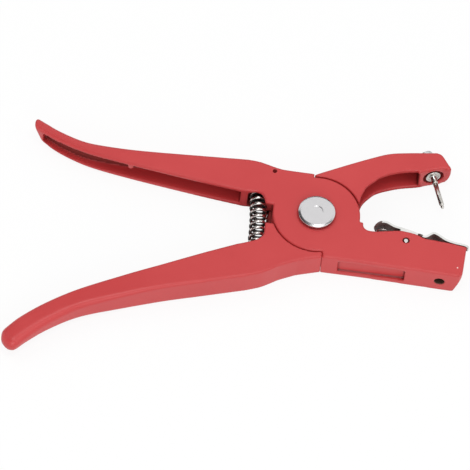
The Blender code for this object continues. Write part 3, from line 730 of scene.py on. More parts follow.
def soften(piece: bpy.types.Object, voxel: float, passes: int) -> None:
    """Give a sharp solid the soft edges and fillets of a casting.

    Args:
        piece: The piece.
        voxel: Size of the new mesh's cells in millimetres.
        passes: How often the surface is smoothed.
    """
    remesh = piece.modifiers.new("skin", "REMESH")
    remesh.mode = "VOXEL"
    remesh.voxel_size = voxel * MM
    remesh.use_smooth_shade = True
    smooth = piece.modifiers.new("smooth", "SMOOTH")
    smooth.factor = 0.5
    smooth.iterations = passes
    settle(piece)
    piece.data.shade_smooth()


def mark(piece: bpy.types.Object, name: str, value: Callable[[Vector], float]) -> None:
    """Give every vertex of a piece a number for its finish.

    Args:
        piece: The piece.
        name: The attribute's name.
        value: The number at a place in millimetres.
    """
    layer = piece.data.attributes.new(name, "FLOAT", "POINT")
    for vertex in piece.data.vertices:
        layer.data[vertex.index].value = value(vertex.co / MM)


def dress(piece: bpy.types.Object, material: bpy.types.Material, node: str) -> None:
    """Give a piece its finish and say which CAD node it stands for.

    Args:
        piece: The piece.
        material: Its finish.
        node: The CAD node that it replaces.
    """
    piece.data.materials.clear()
    piece.data.materials.append(material)
    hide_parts(node)
    LOG.info("%s stands for %s: %d faces", piece.name, node, len(piece.data.polygons))


@dataclass
class Handle:
    """A tapering handle with a cored channel, open on its inner edge."""

    inner: list[Point]
    outer: list[Point]
    tip_thickness: float
    taper: Point
    nose: float
    edge_radii: Point
    channel_span: Point
    lean: float = 0.0
    wall: float = 2.4
    floor: float = 2.6
    reach: float = 6.0
    stations: int = 46

    def thickness(self, share: float) -> float:
        """Work out the handle's thickness.

        Args:
            share: How far along the handle, from 0 to 1.

        Returns:
            The thickness.
        """
        start, power = self.taper
        along = max(0.0, (share - start) / (1 - start))
        return BODY - (BODY - self.tip_thickness) * along ** power

    def section(self, inner: Vector, outer: Vector, thickness: float, inner_radius: float,
                outer_radius: float, steps: int = 6) -> Ring:
        """One section: a rounded rectangle from the inner edge to the outer edge.

        Args:
            inner: Plan place of the inner edge.
            outer: Plan place of the outer edge.
            thickness: Size along Z.
            inner_radius: Radius of the inner corners.
            outer_radius: Radius of the outer corners.
            steps: Chords in each corner.

        Returns:
            The section's points.
        """
        inward = (inner - outer).normalized()
        depth = (inner - outer).length
        half = thickness / 2 - SKIN
        corners = [(depth, half, inner_radius, 0), (0.0, half, outer_radius, 90),
                   (0.0, -half, outer_radius, 180), (depth, -half, inner_radius, 270)]
        ring = []
        for along, height, radius, start in corners:
            radius = min(radius, half - 0.05, depth / 2 - 0.05)
            middle = (along - math.copysign(radius, along - 0.01),
                      height - math.copysign(radius, height))
            for x, y in arc(radius, start, start + 90, steps, middle):
                spot = outer + inward * x
                ring.append(Vector((spot.x, spot.y, MID + y)))
        return ring

    def solid(self) -> Solid:
        """The handle, bedded in the hub at one end and round at the other.

        Returns:
            The solid.
        """
        inner = curve(self.inner, self.stations)
        outer = curve(self.outer, self.stations)
        first, last = self.edge_radii
        bed = (inner[0] - inner[1]).normalized() * 3
        middle = (inner[0] + outer[0]) / 2
        rings = [self.section(inner[0].lerp(middle, 0.1) + bed, outer[0].lerp(middle, 0.1) + bed,
                              BODY, first, first)]
        for index in range(self.stations):
            share = index / (self.stations - 1)
            rings.append(self.section(inner[index], outer[index], self.thickness(share),
                                      first + (last - first) * 0.7 * share ** 3,
                                      first + (last - first) * share ** 1.5))
        forward = ((inner[-1] - inner[-2]) + (outer[-1] - outer[-2])).normalized()
        middle = (inner[-1] + outer[-1]) / 2
        for reach in NOSE_STEPS:
            shrink = max(0.16, math.sqrt(1 - reach ** 2))
            move = forward * self.nose * reach
            rings.append(self.section(middle + (inner[-1] - middle) * shrink + move,
                                      middle + (outer[-1] - middle) * shrink + move,
                                      self.tip_thickness * shrink, last * 0.8 * shrink,
                                      last * shrink))
        for index, ring in enumerate(rings):
            slope = self.lean * min(1.0, index / self.stations) ** 8
            for point in ring:
                point.xy += forward * slope * (point.z - MID)
        return Solid.loft(rings)

    def channel(self) -> Solid:
        """The core that leaves the handle's channel.

        Returns:
            The solid.
        """
        cells = 34
        start, end = self.channel_span
        inner, outer = curve(self.inner, PLAN_READS), curve(self.outer, PLAN_READS)
        rings = []
        for index in range(cells):
            share = start + (end - start) * index / (cells - 1)
            place = round(share * (PLAN_READS - 1))
            inward = (inner[place] - outer[place]).normalized()
            thick = self.thickness(share) - 2 * self.wall
            rings.append(self.section(inner[place] + inward * self.reach,
                                      outer[place] + inward * self.floor, max(thick, 1.6), 0.2, 1.2, 3))
        return Solid.loft(rings)

    def hollow_shade(self) -> Callable[[Vector], float]:
        """Where the channel's deep wall is, which the paint darkens as painted shade.

        Returns:
            A function of a place: 1 on the deep wall and the ends, 0 elsewhere.
        """
        inner, outer = curve(self.inner, self.stations), curve(self.outer, self.stations)
        root = max(self.inner[0][0], self.outer[0][0])

        def inside(spot: Vector) -> float:
            """Test one place.

            Args:
                spot: The place in millimetres.

            Returns:
                1 or 0.
            """
            if spot.x > root or abs(spot.z - MID) > MID - self.wall:
                return 0.0
            plan = spot.xy
            place = min(range(self.stations),
                        key=lambda index: (plan - inner[index].lerp(outer[index], 0.5)).length_squared)
            if not 1 <= place <= self.stations - 3:
                return 0.0
            along = (plan - outer[place]).dot((inner[place] - outer[place]).normalized())
            high = self.thickness(place / (self.stations - 1)) / 2 - self.wall - NEAR_WALL
            depth = (inner[place] - outer[place]).length
            return float(abs(spot.z - MID) < high and self.floor - 0.8 < along < depth - 0.6)

        return inside


def rounded(centre: Point, width: float, height: float, radius: float, steps: int = 6) -> list[Point]:
    """A rectangle with round corners.

    Args:
        centre: Its middle.
        width: Size across.
        height: Size up.
        radius: Corner radius.
        steps: Chords in each corner.

    Returns:
        The outline.
    """
    points = []
    for turn, (sx, sy) in enumerate(((1, 1), (-1, 1), (-1, -1), (1, -1))):
        middle = (centre[0] + sx * (width / 2 - radius), centre[1] + sy * (height / 2 - radius))
        points += arc(radius, 90 * turn, 90 * turn + 90, steps, middle)
    return points


@dataclass
class ReturnSpring:
    """Coil spring between the handles, its ends wound close."""

    upper: Point = (-32.6, 16.4)
    lower: Point = (-30.0, -27.6)
    diameter: float = 9.2
    wire: float = 1.8
    turns: float = 12.0
    bow: float = 0.8
    pocket_width: float = 10.4
    pocket_depth: float = 12.0
    pocket_corner: float = 2.5
    seat: float = 0.3

    def pocket(self, end: Point, other: Point) -> Solid:
        """The cored pocket for one end.

        Args:
            end: Where the spring ends.
            other: Its other end.

        Returns:
            The core.
        """
        direction = (Vector(other) - Vector(end)).normalized()
        floor = Vector(end) - direction * self.seat
        outline = rounded((0, 0), self.pocket_width, self.pocket_depth, self.pocket_corner)
        solid = Solid.prism(outline, 0, 16)
        across = Vector((-direction.y, direction.x, 0))
        turn = Matrix((across, (0, 0, 1), direction.to_3d())).transposed().to_4x4()
        move = Matrix.Translation((floor.x, floor.y, MID)) @ turn
        bmesh.ops.transform(solid.bm, matrix=move, verts=solid.bm.verts)
        return solid

    def in_pocket(self, spot: Vector, end: Point, other: Point) -> bool:
        """Whether a place is on the wall of one end's pocket.

        Args:
            spot: The place.
            end: Where the spring ends.
            other: Its other end.

        Returns:
            True inside the pocket's core, with a little to spare.
        """
        direction = (Vector(other) - Vector(end)).normalized()
        apart = spot.xy - Vector(end)
        across = abs(apart.x * direction.y - apart.y * direction.x)
        return (-1.0 < apart.dot(direction) < 9.0 and across < self.pocket_width / 2 + NEAR_WALL
                and abs(spot.z - MID) < self.pocket_depth / 2 + NEAR_WALL)

    def made(self, material: bpy.types.Material) -> bpy.types.Object:
        """Build the spring, bowed a little to the side between the two castings.

        Args:
            material: Its finish.

        Returns:
            The spring.
        """
        solid = coil((*self.upper, MID), (*self.lower, MID), self.bow, self.diameter, self.wire,
                     self.turns, 30, 14, self.seat)
        piece = solid.piece("handle_return_spring", 60)
        shade_inside(piece, 14)
        dress(piece, material, "return_spring")
        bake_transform(piece)
        return piece


def coil(start: tuple[float, ...], end: tuple[float, ...], bow: float, diameter: float, wire: float,
         turns: float, per_turn: int, sides: int, seat: float) -> Solid:
    """A compression spring with one close turn at each end.

    Args:
        start: One end's centre.
        end: The other end's centre.
        bow: How far the middle stands to the side.
        diameter: Outer diameter.
        wire: Wire diameter.
        turns: Number of turns.
        per_turn: Rings in each turn.
        sides: Points in each ring.
        seat: Gap between close turns.

    Returns:
        The spring.
    """
    first, last = Vector(start), Vector(end)
    direction = (last - first).normalized()
    upright = Vector((0, 0, 1))
    across = upright.cross(direction)
    radius = (diameter - wire) / 2
    length = (last - first).length
    closed_pitch = wire + seat
    open_pitch = (length - wire - 2 * closed_pitch) / (turns - 2)
    rings = []
    count = round(turns * per_turn)
    for index in range(count + 1):
        turn = turns * index / count
        closed = min(turn, 1.0) + max(0.0, turn - (turns - 1.0))
        along = wire / 2 + closed_pitch * closed + open_pitch * (turn - closed)
        share = along / length
        angle = FULL_TURN * turn
        outward = across * math.cos(angle) + upright * math.sin(angle)
        centre = first + direction * along + across * bow * (4 * share * (1 - share)) ** 2 + outward * radius
        rings.append([centre + outward * x + direction * y
                      for x, y in arc(wire / 2, 0, 360, sides)[:-1]])
    return Solid.loft(rings)


def shade_inside(piece: bpy.types.Object, sides: int) -> None:
    """Mark painted shade on the side of a coil's wire that faces its own axis or the next turn.

    Args:
        piece: The coil.
        sides: Points in each ring of the wire.
    """
    layer = piece.data.attributes.new(UNDERSIDE, "FLOAT", "POINT")
    for index in range(len(piece.data.vertices)):
        outward = math.cos(FULL_TURN * (index % sides) / sides)
        layer.data[index].value = min(1.0, max(0.0, (SHADE_START - outward) * SHADE_GAIN))


@dataclass
class TagPin:
    """The needle in the upper jaw, with its flange, washer and nut."""

    seat: Point = (60.0, 37.5)
    lean: float = 19.7
    length: float = 20.6
    shaft: float = 2.6
    collar: float = 3.2
    collar_length: float = 4.0
    point_length: float = 2.6
    flange: float = 8.4
    flange_thickness: float = 1.6
    stud: float = 3.4
    clearance: float = 0.3
    pocket: float = 11.2
    stud_reach: float = 2.6
    nut: float = 6.9
    nut_height: float = 3.55
    washer: float = 8.0
    washer_thickness: float = 0.8
    spot_depth: float = 0.6
    spot_margin: float = 0.5
    gap: float = 0.3
    jaw_top: float = 47.7

    def axis(self) -> Vector:
        """Direction from the jaw to the needle's point."""
        lean = math.radians(self.lean)
        return Vector((math.sin(lean), -math.cos(lean), 0))

    def hole_x(self) -> float:
        """Where the needle's line meets the lower jaw when the tool is shut."""
        return self.seat[1] * self.axis().x - self.seat[0] * self.axis().y

    def spot(self) -> float:
        """Height of the washer's seat over the flange, along the needle."""
        return (self.jaw_top - self.seat[1]) / math.cos(math.radians(self.lean)) - self.spot_depth

    def placed(self, solid: Solid, outward: bool) -> Solid:
        """Put a shape made on +Z on the needle's line.

        Args:
            solid: The shape.
            outward: True where its +Z goes to the needle's point.

        Returns:
            The same shape.
        """
        return solid.placed((*self.seat, MID), self.axis() if outward else -self.axis())

    def bore(self) -> Solid:
        """Bore with the flange's pocket and the washer's spot face.

        Returns:
            The cutter.
        """
        pocket, stud = self.pocket / 2, self.stud / 2 + self.clearance
        spot, top = self.washer / 2 + self.spot_margin, self.spot()
        depth = self.flange_thickness + self.gap
        profile = [(0, -4), (pocket, -4), (pocket, depth), (stud, depth), (stud, top), (spot, top),
                   (spot, top + 4), (0, top + 4)]
        return self.placed(Solid.turned(profile, 64), False)

    def in_pocket(self, spot: Vector) -> bool:
        """Tell whether a place is on the wall or the floor of the flange's pocket.

        Args:
            spot: The place in millimetres.

        Returns:
            True on the pocket's wall or floor.
        """
        apart = spot - Vector((*self.seat, MID))
        depth = -apart.dot(self.axis())
        return 0.3 < depth < 3.5 and (apart + depth * self.axis()).length < self.pocket / 2 + 0.4

    def needle_profile(self) -> list[Point]:
        """Radius and height of the needle from its stud to its point.

        Returns:
            The profile.
        """
        stud, flange, collar, shaft = self.stud / 2, self.flange / 2, self.collar / 2, self.shaft / 2
        top = -(self.spot() + self.gap + self.washer_thickness + self.gap + self.stud_reach)
        back = -self.flange_thickness
        taper = self.length - self.point_length
        return [(0, top), (stud - 0.45, top), (stud, top + 0.45), (stud, back), (flange - 0.2, back),
                (flange, back + 0.2), (flange, -0.35), (flange - 0.1, -0.12), (flange - 0.35, 0.0),
                (flange - 1.1, 0.0), (flange - 1.25, -0.3), (collar + 0.75, -0.3), (collar + 0.6, 0.0),
                (collar + 0.2, 0.02), (collar, 0.25), (collar, self.collar_length - 0.4),
                (collar - 0.12, self.collar_length - 0.1), (shaft + 0.1, self.collar_length + 0.1),
                (shaft - 0.18, self.collar_length + 0.3), (shaft - 0.18, self.collar_length + 0.55),
                (shaft, self.collar_length + 0.75), (shaft, taper - 0.3), (shaft - 0.1, taper),
                (shaft * 0.66, taper + 0.25), (shaft * 0.60, taper + 0.55), (shaft * 0.72, taper + 0.95),
                (shaft * 0.70, taper + 1.5), (shaft * 0.46, self.length - 0.35), (0, self.length)]

    def made(self, needle: bpy.types.Material, plate: bpy.types.Material,
             zinc: bpy.types.Material) -> list[bpy.types.Object]:
        """Build the needle, its washer and its nut.

        Args:
            needle: Finish of the needle.
            plate: Finish of the nut.
            zinc: Finish of the washer.

        Returns:
            The pieces.
        """
        pin = self.placed(Solid.turned(self.needle_profile(), 48), True).piece("tag_needle", 50)
        dress(pin, needle, "applicator_pin")
        bore = self.stud / 2 + self.clearance
        low = self.spot() + self.gap
        high = low + self.washer_thickness
        ring = self.placed(Solid.turned(washer(bore, self.washer / 2, low, high, 0.1, 0.15), 48), False)
        under = ring.piece("needle_washer")
        dress(under, zinc, "pin_nut_washer")
        low, body = high + self.gap, self.nut / 2
        high = low + self.nut_height
        ring = [(bore, low), (body - 0.1, low), (body, low + 0.1), (body, high - 0.7),
                (body - 0.2, high - 0.2), (body - 0.7, high), (bore, high)]
        nut = self.placed(Solid.turned(ring, 48), False).piece("needle_nut")
        dress(nut, plate, "pin_nut")
        pieces = [pin, under, nut]
        for piece in pieces:
            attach(piece, "pin_side")
        return pieces


@dataclass
class Pivot:
    """Headed pivot pin with a plain washer and an open ring behind the hub."""

    shank: float = 9.0
    clearance: float = 0.3
    head: float = 19.8
    head_height: float = 2.29
    neck: float = 18.8
    neck_height: float = 1.2
    land: float = 0.55
    bevel: float = 1.8
    dimple: float = 7.8
    dimple_depth: float = 0.23
    recess: float = 20.7
    recess_depth: float = 0.6
    end_lip: float = 1.3
    ring_thickness: float = 1.0
    ring_outer: float = 13.0
    groove_depth: float = 1.0
    ring_mouth: float = 70.0
    washer_thickness: float = 1.0
    washer_band: float = 2.5
    counterbore_margin: float = 0.8
    gap: float = 0.3

    def ring_low(self) -> float:
        """Lower face of the ring."""
        return self.end_lip + self.gap

    def washer_low(self) -> float:
        """Lower face of the washer."""
        return self.ring_low() + self.ring_thickness + self.gap

    def washer_outer(self) -> float:
        """Outer radius of the washer."""
        return self.shank / 2 + self.clearance + self.washer_band

    def front_bore(self) -> Solid:
        """Bore through the front half of the hub, with the shallow recess that the head sits in.

        Returns:
            The cutter.
        """
        shank, floor = self.shank / 2 + self.clearance, BODY - self.recess_depth
        profile = [(0, -4), (shank, -4), (shank, floor), (self.recess / 2, floor),
                   (self.recess / 2, BODY + 4), (0, BODY + 4)]
        return Solid.turned(profile, 72)

    def back_bore(self) -> Solid:
        """Bore with the counterbore that hides the washer and the ring.

        Returns:
            The cutter.
        """
        shank = self.shank / 2 + self.clearance
        wide = self.washer_outer() + self.counterbore_margin
        floor = self.washer_low() + self.washer_thickness + self.gap
        profile = [(0, -4), (wide, -4), (wide, floor), (shank, floor), (shank, BODY + 4),
                   (0, BODY + 4)]
        return Solid.turned(profile, 72)

    def pin_profile(self) -> list[Point]:
        """Radius and height of the pin from its end to its head.

        Returns:
            The profile.
        """
        shank, head = self.shank / 2, self.head / 2
        seat, groove = BODY + self.gap, self.shank / 2 - self.groove_depth
        face = seat + self.head_height
        neck, rim = self.neck / 2, seat + self.neck_height
        shoulder = rim + self.land
        profile = [(0, 0.002), (shank - 0.4, 0.002), (shank, 0.4), (shank, self.end_lip),
                   (groove, self.end_lip), (groove, self.washer_low()), (shank, self.washer_low()),
                   (shank, seat - self.recess_depth), (neck, seat - self.recess_depth), (neck, rim),
                   (head - 0.15, rim), (head, rim + 0.15),
                   (head, shoulder - 0.12)]
        for share in DOME_STEPS:
            profile.append((head - 0.08 - self.bevel * share,
                            shoulder + (face - shoulder) * math.sin(math.radians(90 * share)) ** 0.9))
        dimple = self.dimple / 2
        profile.append((dimple + 0.4, face))
        for share in (0.0, 0.2, 0.4, 0.6, 0.8, 1.0):
            dip = self.dimple_depth * (1 - math.cos(math.radians(180 * share))) / 2
            profile.append((dimple - 1.3 * share, face - dip))
        return profile + [(0, face - 0.8 * self.dimple_depth)]

    def made(self, steel: bpy.types.Material, zinc: bpy.types.Material) -> list[bpy.types.Object]:
        """Build the pin, the washer and the ring.

        Args:
            steel: Finish of the pin.
            zinc: Finish of the washer and the ring.

        Returns:
            The pieces.
        """
        pin = Solid.turned(self.pin_profile(), 128).piece("hub_pivot_pin", 24)
        dress(pin, steel, "pivot_pin")
        inner, outer, low = self.shank / 2 + self.clearance, self.washer_outer(), self.washer_low()
        high = low + self.washer_thickness
        plain = Solid.turned(washer(inner, outer, low, high, 0.15, 0.1), 72).piece("hub_washer")
        dress(plain, zinc, "pivot_washer")
        hole, rim = self.shank / 2 - self.groove_depth + self.gap, self.ring_outer / 2
        half = self.ring_mouth / 2
        outline = arc(rim, 270 + half, 630 - half, 60) + arc(hole, 630 - half, 270 + half, 48)
        ring = Solid.prism(outline, self.ring_low(), self.ring_low() + self.ring_thickness, 0.12, 2)
        clip = ring.piece("hub_retaining_ring")
        dress(clip, zinc, "pivot_retaining_ring")
        pieces = [pin, plain, clip]
        for piece in pieces:
            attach(piece, "clip_side")
        return pieces


@dataclass
class TagClip:
    """Sprung sheet clip on the lower jaw: a flat blank, bent, with a fork and two hinge ears."""

    hinge: Point = (49.0, -9.7)
    sheet: float = 1.2
    top: list[Point] = field(default_factory=lambda: [
        (31.3, 0.9), (33.7, 2.0), (36.2, 2.3), (38.8, 1.9), (42.2, 0.2), (46.4, -0.7),
        (51.4, -1.9), (55.2, -3.2), (58.6, -5.2), (60.6, -4.0), (62.6, -2.4), (64.6, -2.4),
        (67.2, -3.7), (70.2, -5.5), (74.3, -6.7), (80.0, -7.5), (83.0, -8.3)])
    rear_width: float = 11.6
    front_width: float = 15.2
    shoulder_x: float = 57.0
    fork_width: float = 7.2
    fork_root_x: float = 65.6
    back_prong_x: float = 80.6
    ear_radius: float = 2.9
    ear_spread: Triple = (5.2, 0.0, -3.6)
    ear_bed: float = 0.7
    pin: float = 2.6
    pin_recess: float = 0.5
    pin_hole: float = 3.2
    cheek_hole: float = 3.7
    side_clearance: float = 0.3
    slot_x: Point = (42.4, 56.4)
    slot_floor: float = -14.2
    spring_x: float = 36.2
    spring_diameter: float = 7.0
    spring_wire: float = 0.9
    spring_turns: float = 5.0
    spring_floor: float = -13.4
    gap: float = 0.3

    def top_at(self, x: float) -> float:
        """Height of the sheet's top at a place along the jaw."""
        return min(curve(self.top, PLAN_READS), key=lambda point: abs(point.x - x)).y

    def slot(self) -> Solid:
        """Slot in the lower jaw for the clip's ears.

        Returns:
            The cutter.
        """
        width = self.rear_width + 2 * self.side_clearance
        outline = rounded(((self.slot_x[0] + self.slot_x[1]) / 2, self.slot_floor + 10),
                          self.slot_x[1] - self.slot_x[0], 20, 2.5)
        return Solid.prism(outline, MID - width / 2, MID + width / 2)

    def hinge_hole(self) -> Solid:
        """Hole through both cheeks of the jaw."""
        return Solid.post(self.cheek_hole, -1, BODY + 1, self.hinge, 36)

    def spring_pocket(self) -> Solid:
        """Round pocket under the clip's thumb end."""
        pocket = Solid.rod(self.spring_diameter + 1.0, self.spring_floor - self.gap, 0, 40)
        return pocket.placed((self.spring_x, 0, MID), (0, 1, 0))

    def blank(self) -> list[Point]:
        """Plan of the flat blank in X and Z: round thumb end, shoulders and a fork, shorter behind.

        Returns:
            The outline.
        """
        rear, front, fork = self.rear_width / 2, self.front_width / 2, self.fork_width / 2

        def prong(end: float) -> list[Point]:
            """Half of the front, from the shoulder round the prong to the fork.

            Args:
                end: Where the prong ends.

            Returns:
                Places along the clip and distances from its middle.
            """
            shoulder = self.shoulder_x
            return [(shoulder - 1.8, rear), (shoulder - 0.3, front - 0.6), (shoulder + 0.8, front),
                    (end - 1.6, front), (end - 0.5, front - 0.5), (end, front - 1.6), (end, fork + 1.0),
                    (end - 0.4, fork + 0.2), (end - 1.0, fork)]

        plan = arc(rear, 270, 90, 20, (self.top[0][0] + rear, MID))
        plan += [(x, MID + z) for x, z in prong(self.top[-1][0])]
        plan += arc(fork, 90, 270, 14, (self.fork_root_x + fork, MID))
        return plan + [(x, MID - z) for x, z in prong(self.back_prong_x)[::-1]]

    def bent(self) -> bpy.types.Object:
        """Bend the blank to the clip's side view and give it its thickness.

        Returns:
            The clip's sheet.
        """
        solid = Solid()
        bm = solid.bm
        bm.faces.new([bm.verts.new((x, 0, z)) for x, z in self.blank()])
        low, high, stations = self.top[0][0], self.top[-1][0], 92
        for index in range(1, stations):
            x = low + (high - low) * index / stations
            geometry = bm.verts[:] + bm.edges[:] + bm.faces[:]
            bmesh.ops.bisect_plane(bm, geom=geometry, plane_co=(x, 0, 0), plane_no=(1, 0, 0))
        line = curve(self.top, PLAN_READS)
        for vert in bm.verts:
            vert.co.y = min(line, key=lambda point: abs(point.x - vert.co.x)).y
        bm.normal_update()
        if sum(face.normal.y for face in bm.faces) < 0:
            bmesh.ops.reverse_faces(bm, faces=bm.faces)
        bmesh.ops.scale(bm, verts=bm.verts, vec=(MM, MM, MM))
        piece = stand("jaw_clip", mesh_of(bm, "jaw_clip"))
        thick = piece.modifiers.new("sheet", "SOLIDIFY")
        thick.thickness = self.sheet * MM
        thick.offset = -1.0
        thick.use_even_offset = True
        settle(piece)
        return piece

    def ear(self, side: int) -> Solid:
        """One hinge ear under the sheet's edge.

        Args:
            side: 1 for the front ear and -1 for the back ear.

        Returns:
            The ear.
        """
        x = self.hinge[0]
        outline = arc(self.ear_radius, 180, 360, 16, self.hinge)
        outline += [(x + along, self.top_at(x + along) - self.ear_bed) for along in self.ear_spread]
        outside = self.rear_width / 2
        levels = sorted((MID + side * outside, MID + side * (outside - self.sheet)))
        return Solid.prism(outline, *levels)

    def made(self, plate: bpy.types.Material, pin_steel: bpy.types.Material,
             wire: bpy.types.Material) -> list[bpy.types.Object]:
        """Build the clip, its hinge pin and its spring.

        Args:
            plate: Finish of the sheet.
            pin_steel: Finish of the hinge pin.
            wire: Finish of the spring.

        Returns:
            The pieces.
        """
        clip = self.bent()
        hole = Solid.post(self.pin_hole, 0, BODY, self.hinge, 36)
        combine(clip, [(Cut.JOINED, self.ear(1)), (Cut.JOINED, self.ear(-1)), (Cut.AWAY, hole)])
        edge = clip.modifiers.new("edge", "BEVEL")
        edge.width = 0.22 * MM
        edge.segments = 2
        edge.limit_method = "ANGLE"
        edge.angle_limit = math.radians(50)
        edge.harden_normals = True
        settle(clip)
        # Painted shade: faces of the clip that face down, back or towards the thumb end are marked to turn
        # dark, except near its tip.
        under = clip.data.attributes.new(UNDERSIDE, "FLOAT", "FACE")
        tip = (self.top[-1][0] - 0.8) * MM
        for face in clip.data.polygons:
            under.data[face.index].value = float(face.center.x < tip and (
                face.normal.x < -0.25 or face.normal.y < 0.3 and face.normal.z < 0.5))
        dress(clip, plate, "tag_clip")
        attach(clip, "clip")
        profile = washer(0, self.pin / 2, self.pin_recess, BODY - self.pin_recess, 0.25, 0.25)
        pin = Solid.turned(profile, 40).placed((*self.hinge, 0), (0, 0, 1)).piece("clip_pin")
        dress(pin, pin_steel, "clip_hinge_pin")
        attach(pin, "clip_side")
        reach = self.spring_diameter / 2
        lowest = min(self.top_at(self.spring_x - reach), self.top_at(self.spring_x + reach))
        high = lowest - 1.2 * self.sheet - self.gap
        spring = coil((self.spring_x, self.spring_floor, MID), (self.spring_x, high, MID), 0.0,
                      self.spring_diameter, self.spring_wire, self.spring_turns, 30, 12,
                      self.gap).piece("clip_thumb_spring", 60)
        shade_inside(spring, 12)
        dress(spring, wire, "clip_spring")
        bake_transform(spring)
        return [clip, pin, spring]


@dataclass
class ClipCasting:
    """Upper handle, front half of the hub and lower jaw."""

    spring: ReturnSpring
    pivot: Pivot
    clip: TagClip
    needle: TagPin
    base: list[Point] = field(default_factory=lambda: [
        (5.5, -26.6), (29.0, -26.9), (56.0, -27.8), (77.8, -28.5)])
    end_round: list[Point] = field(default_factory=lambda: [
        (79.3, -28.1), (80.4, -27.0), (80.9, -25.3)])
    end_x: float = 81.6
    back_taper: float = 4.4
    end_corner: float = 2.2
    ledge: Point = (25.4, -1.5)
    ledge_round: list[Point] = field(default_factory=lambda: [
        (25.5, -3.6), (26.3, -5.0), (27.7, -6.0), (29.6, -6.4)])
    top: list[Point] = field(default_factory=lambda: [
        (32.6, -6.3), (39.9, -4.8), (45.4, -3.9), (50.5, -4.3), (54.5, -5.1), (58.5, -6.8),
        (62.0, -7.1), (66.0, -7.45), (73.6, -8.05)])
    tip_top_y: float = -9.25
    recess_x: Point = (14.4, 50.4)
    recess_floor: float = -25.1
    recess_width: float = 10.0
    anvil_hole: float = 5.4
    ejector_pad: Point = (-101.5, 19.2)
    drill_mark: Point = (-24.8, 23.9)
    drill: float = 2.3
    drill_depth: float = 1.0
    pad: float = 3.6
    pad_height: float = 2.8
    lobe: Triple = (26.6, 139.0, 206.0)
    hub_degrees: Point = (99.0, 172.4)
    saddle: list[Point] = field(default_factory=lambda: [
        (-3.5, 25.5), (-16.9, 25.6), (-22.3, 26.1), (-27.8, 27.5), (-33.3, 28.9)])
    bed: tuple[Point, Point] = ((-44.5, 27.4), (-44.5, 11.6))
    spring_side: list[Point] = field(default_factory=lambda: [
        (-36.0, 9.3), (-32.5, 9.6), (-30.2, 8.8), (-28.4, 6.2), (-27.6, 3.1)])
    # Painted shade: plan box of the wall beside the spring, which gets 0.6 of the recess shade.
    shaded_patch: tuple[Point, Point] = ((-28.2, -23.0), (1.8, 4.2))
    rim: float = 0.7
    cell: float = 0.5
    handle: Handle = field(default_factory=lambda: Handle(
        inner=[(-40.0, 9.1), (-62.8, 11.9), (-95.5, 16.5), (-117.3, 20.0), (-128.4, 22.5),
               (-139.5, 26.4), (-147.0, 30.0), (-152.7, 33.8)],
        outer=[(-40.0, 29.5), (-60.0, 28.6), (-97.6, 27.3), (-119.0, 28.0), (-130.0, 29.9),
               (-141.0, 34.1), (-146.6, 37.2), (-151.2, 39.6)],
        tip_thickness=12.0, taper=(0.55, 2.0), nose=1.5, edge_radii=(1.0, 4.4),
        channel_span=(0.012, 0.975), lean=0.6))

    def outline(self) -> list[Point]:
        """Plan of the hub, the handle's root and the lower jaw.

        Returns:
            The outline.
        """
        root = math.degrees(math.asin(self.ledge[1] / HUB_RADIUS))
        stop = -math.degrees(math.acos(self.base[0][0] / HUB_RADIUS))
        plan = pairs(self.base, 24)
        plan += pairs([self.base[-1], *self.end_round], 8)[1:] + [(self.end_x, self.tip_top_y)]
        plan += pairs(self.top, 40)[::-1] + pairs([self.ledge, *self.ledge_round], 9)[::-1]
        plan += arc(HUB_RADIUS, root, self.hub_degrees[0], 60)
        plan += [*pairs([*self.saddle, self.handle.outer[0]], 24), *self.bed]
        plan += pairs([self.handle.inner[0], *self.spring_side], 20)
        return plan + arc(HUB_RADIUS, self.hub_degrees[1], 360 + stop, 60)

    def end_trim(self) -> Solid:
        """What the slanting, round-cornered end of the jaw lacks.

        Returns:
            The cutter.
        """
        back_x = self.end_x - self.back_taper
        lean = self.back_taper / BODY
        corner = arc(self.end_corner, 0, -90, 8, (back_x - self.end_corner + lean, self.end_corner))
        outline = [(self.end_x + 0.6, BODY + 1), *corner, (corner[-1][0], -1.0),
                   (self.end_x + 4, -1.0), (self.end_x + 4, BODY + 1)]
        return Solid.side(outline, self.base[-1][1] - 1, 0)

    def cuts(self) -> list[tuple[Cut, Solid]]:
        """Everything that shapes the casting after its plan is extruded.

        Returns:
            The cuts in order.
        """
        recess = rounded((sum(self.recess_x) / 2, MID), self.recess_x[1] - self.recess_x[0],
                         self.recess_width, 0.8)
        below = self.base[-1][1] - 1
        anvil = Solid.rod(self.anvil_hole, below, 0)
        drilled = Solid.post(self.drill, BODY - self.drill_depth, BODY + 1, self.drill_mark, 24)
        wall = BODY - self.handle.wall
        return [
            (Cut.JOINED, self.handle.solid()),
            (Cut.AWAY, Solid.rod(2 * (HUB_RADIUS + LAP_GAP), -4, MID + LAP_GAP / 2, 144)),
            (Cut.AWAY, Solid.prism([(0, 0)] + arc(*self.lobe, 24), -4, MID + LAP_GAP / 2)),
            (Cut.AWAY, self.handle.channel()),
            (Cut.JOINED, Solid.post(self.pad, wall - self.pad_height, wall + 1, self.ejector_pad, 32)),
            (Cut.AWAY, self.spring.pocket(self.spring.upper, self.spring.lower)),
            (Cut.AWAY, self.pivot.front_bore()),
            (Cut.AWAY, self.end_trim()),
            (Cut.AWAY, Solid.side(recess, below, self.recess_floor)),
            (Cut.AWAY, anvil.placed((self.needle.hole_x(), 0, MID), (0, 1, 0))),
            (Cut.AWAY, self.clip.slot()),
            (Cut.AWAY, self.clip.hinge_hole()),
            (Cut.AWAY, self.clip.spring_pocket()),
            (Cut.AWAY, drilled),
        ]

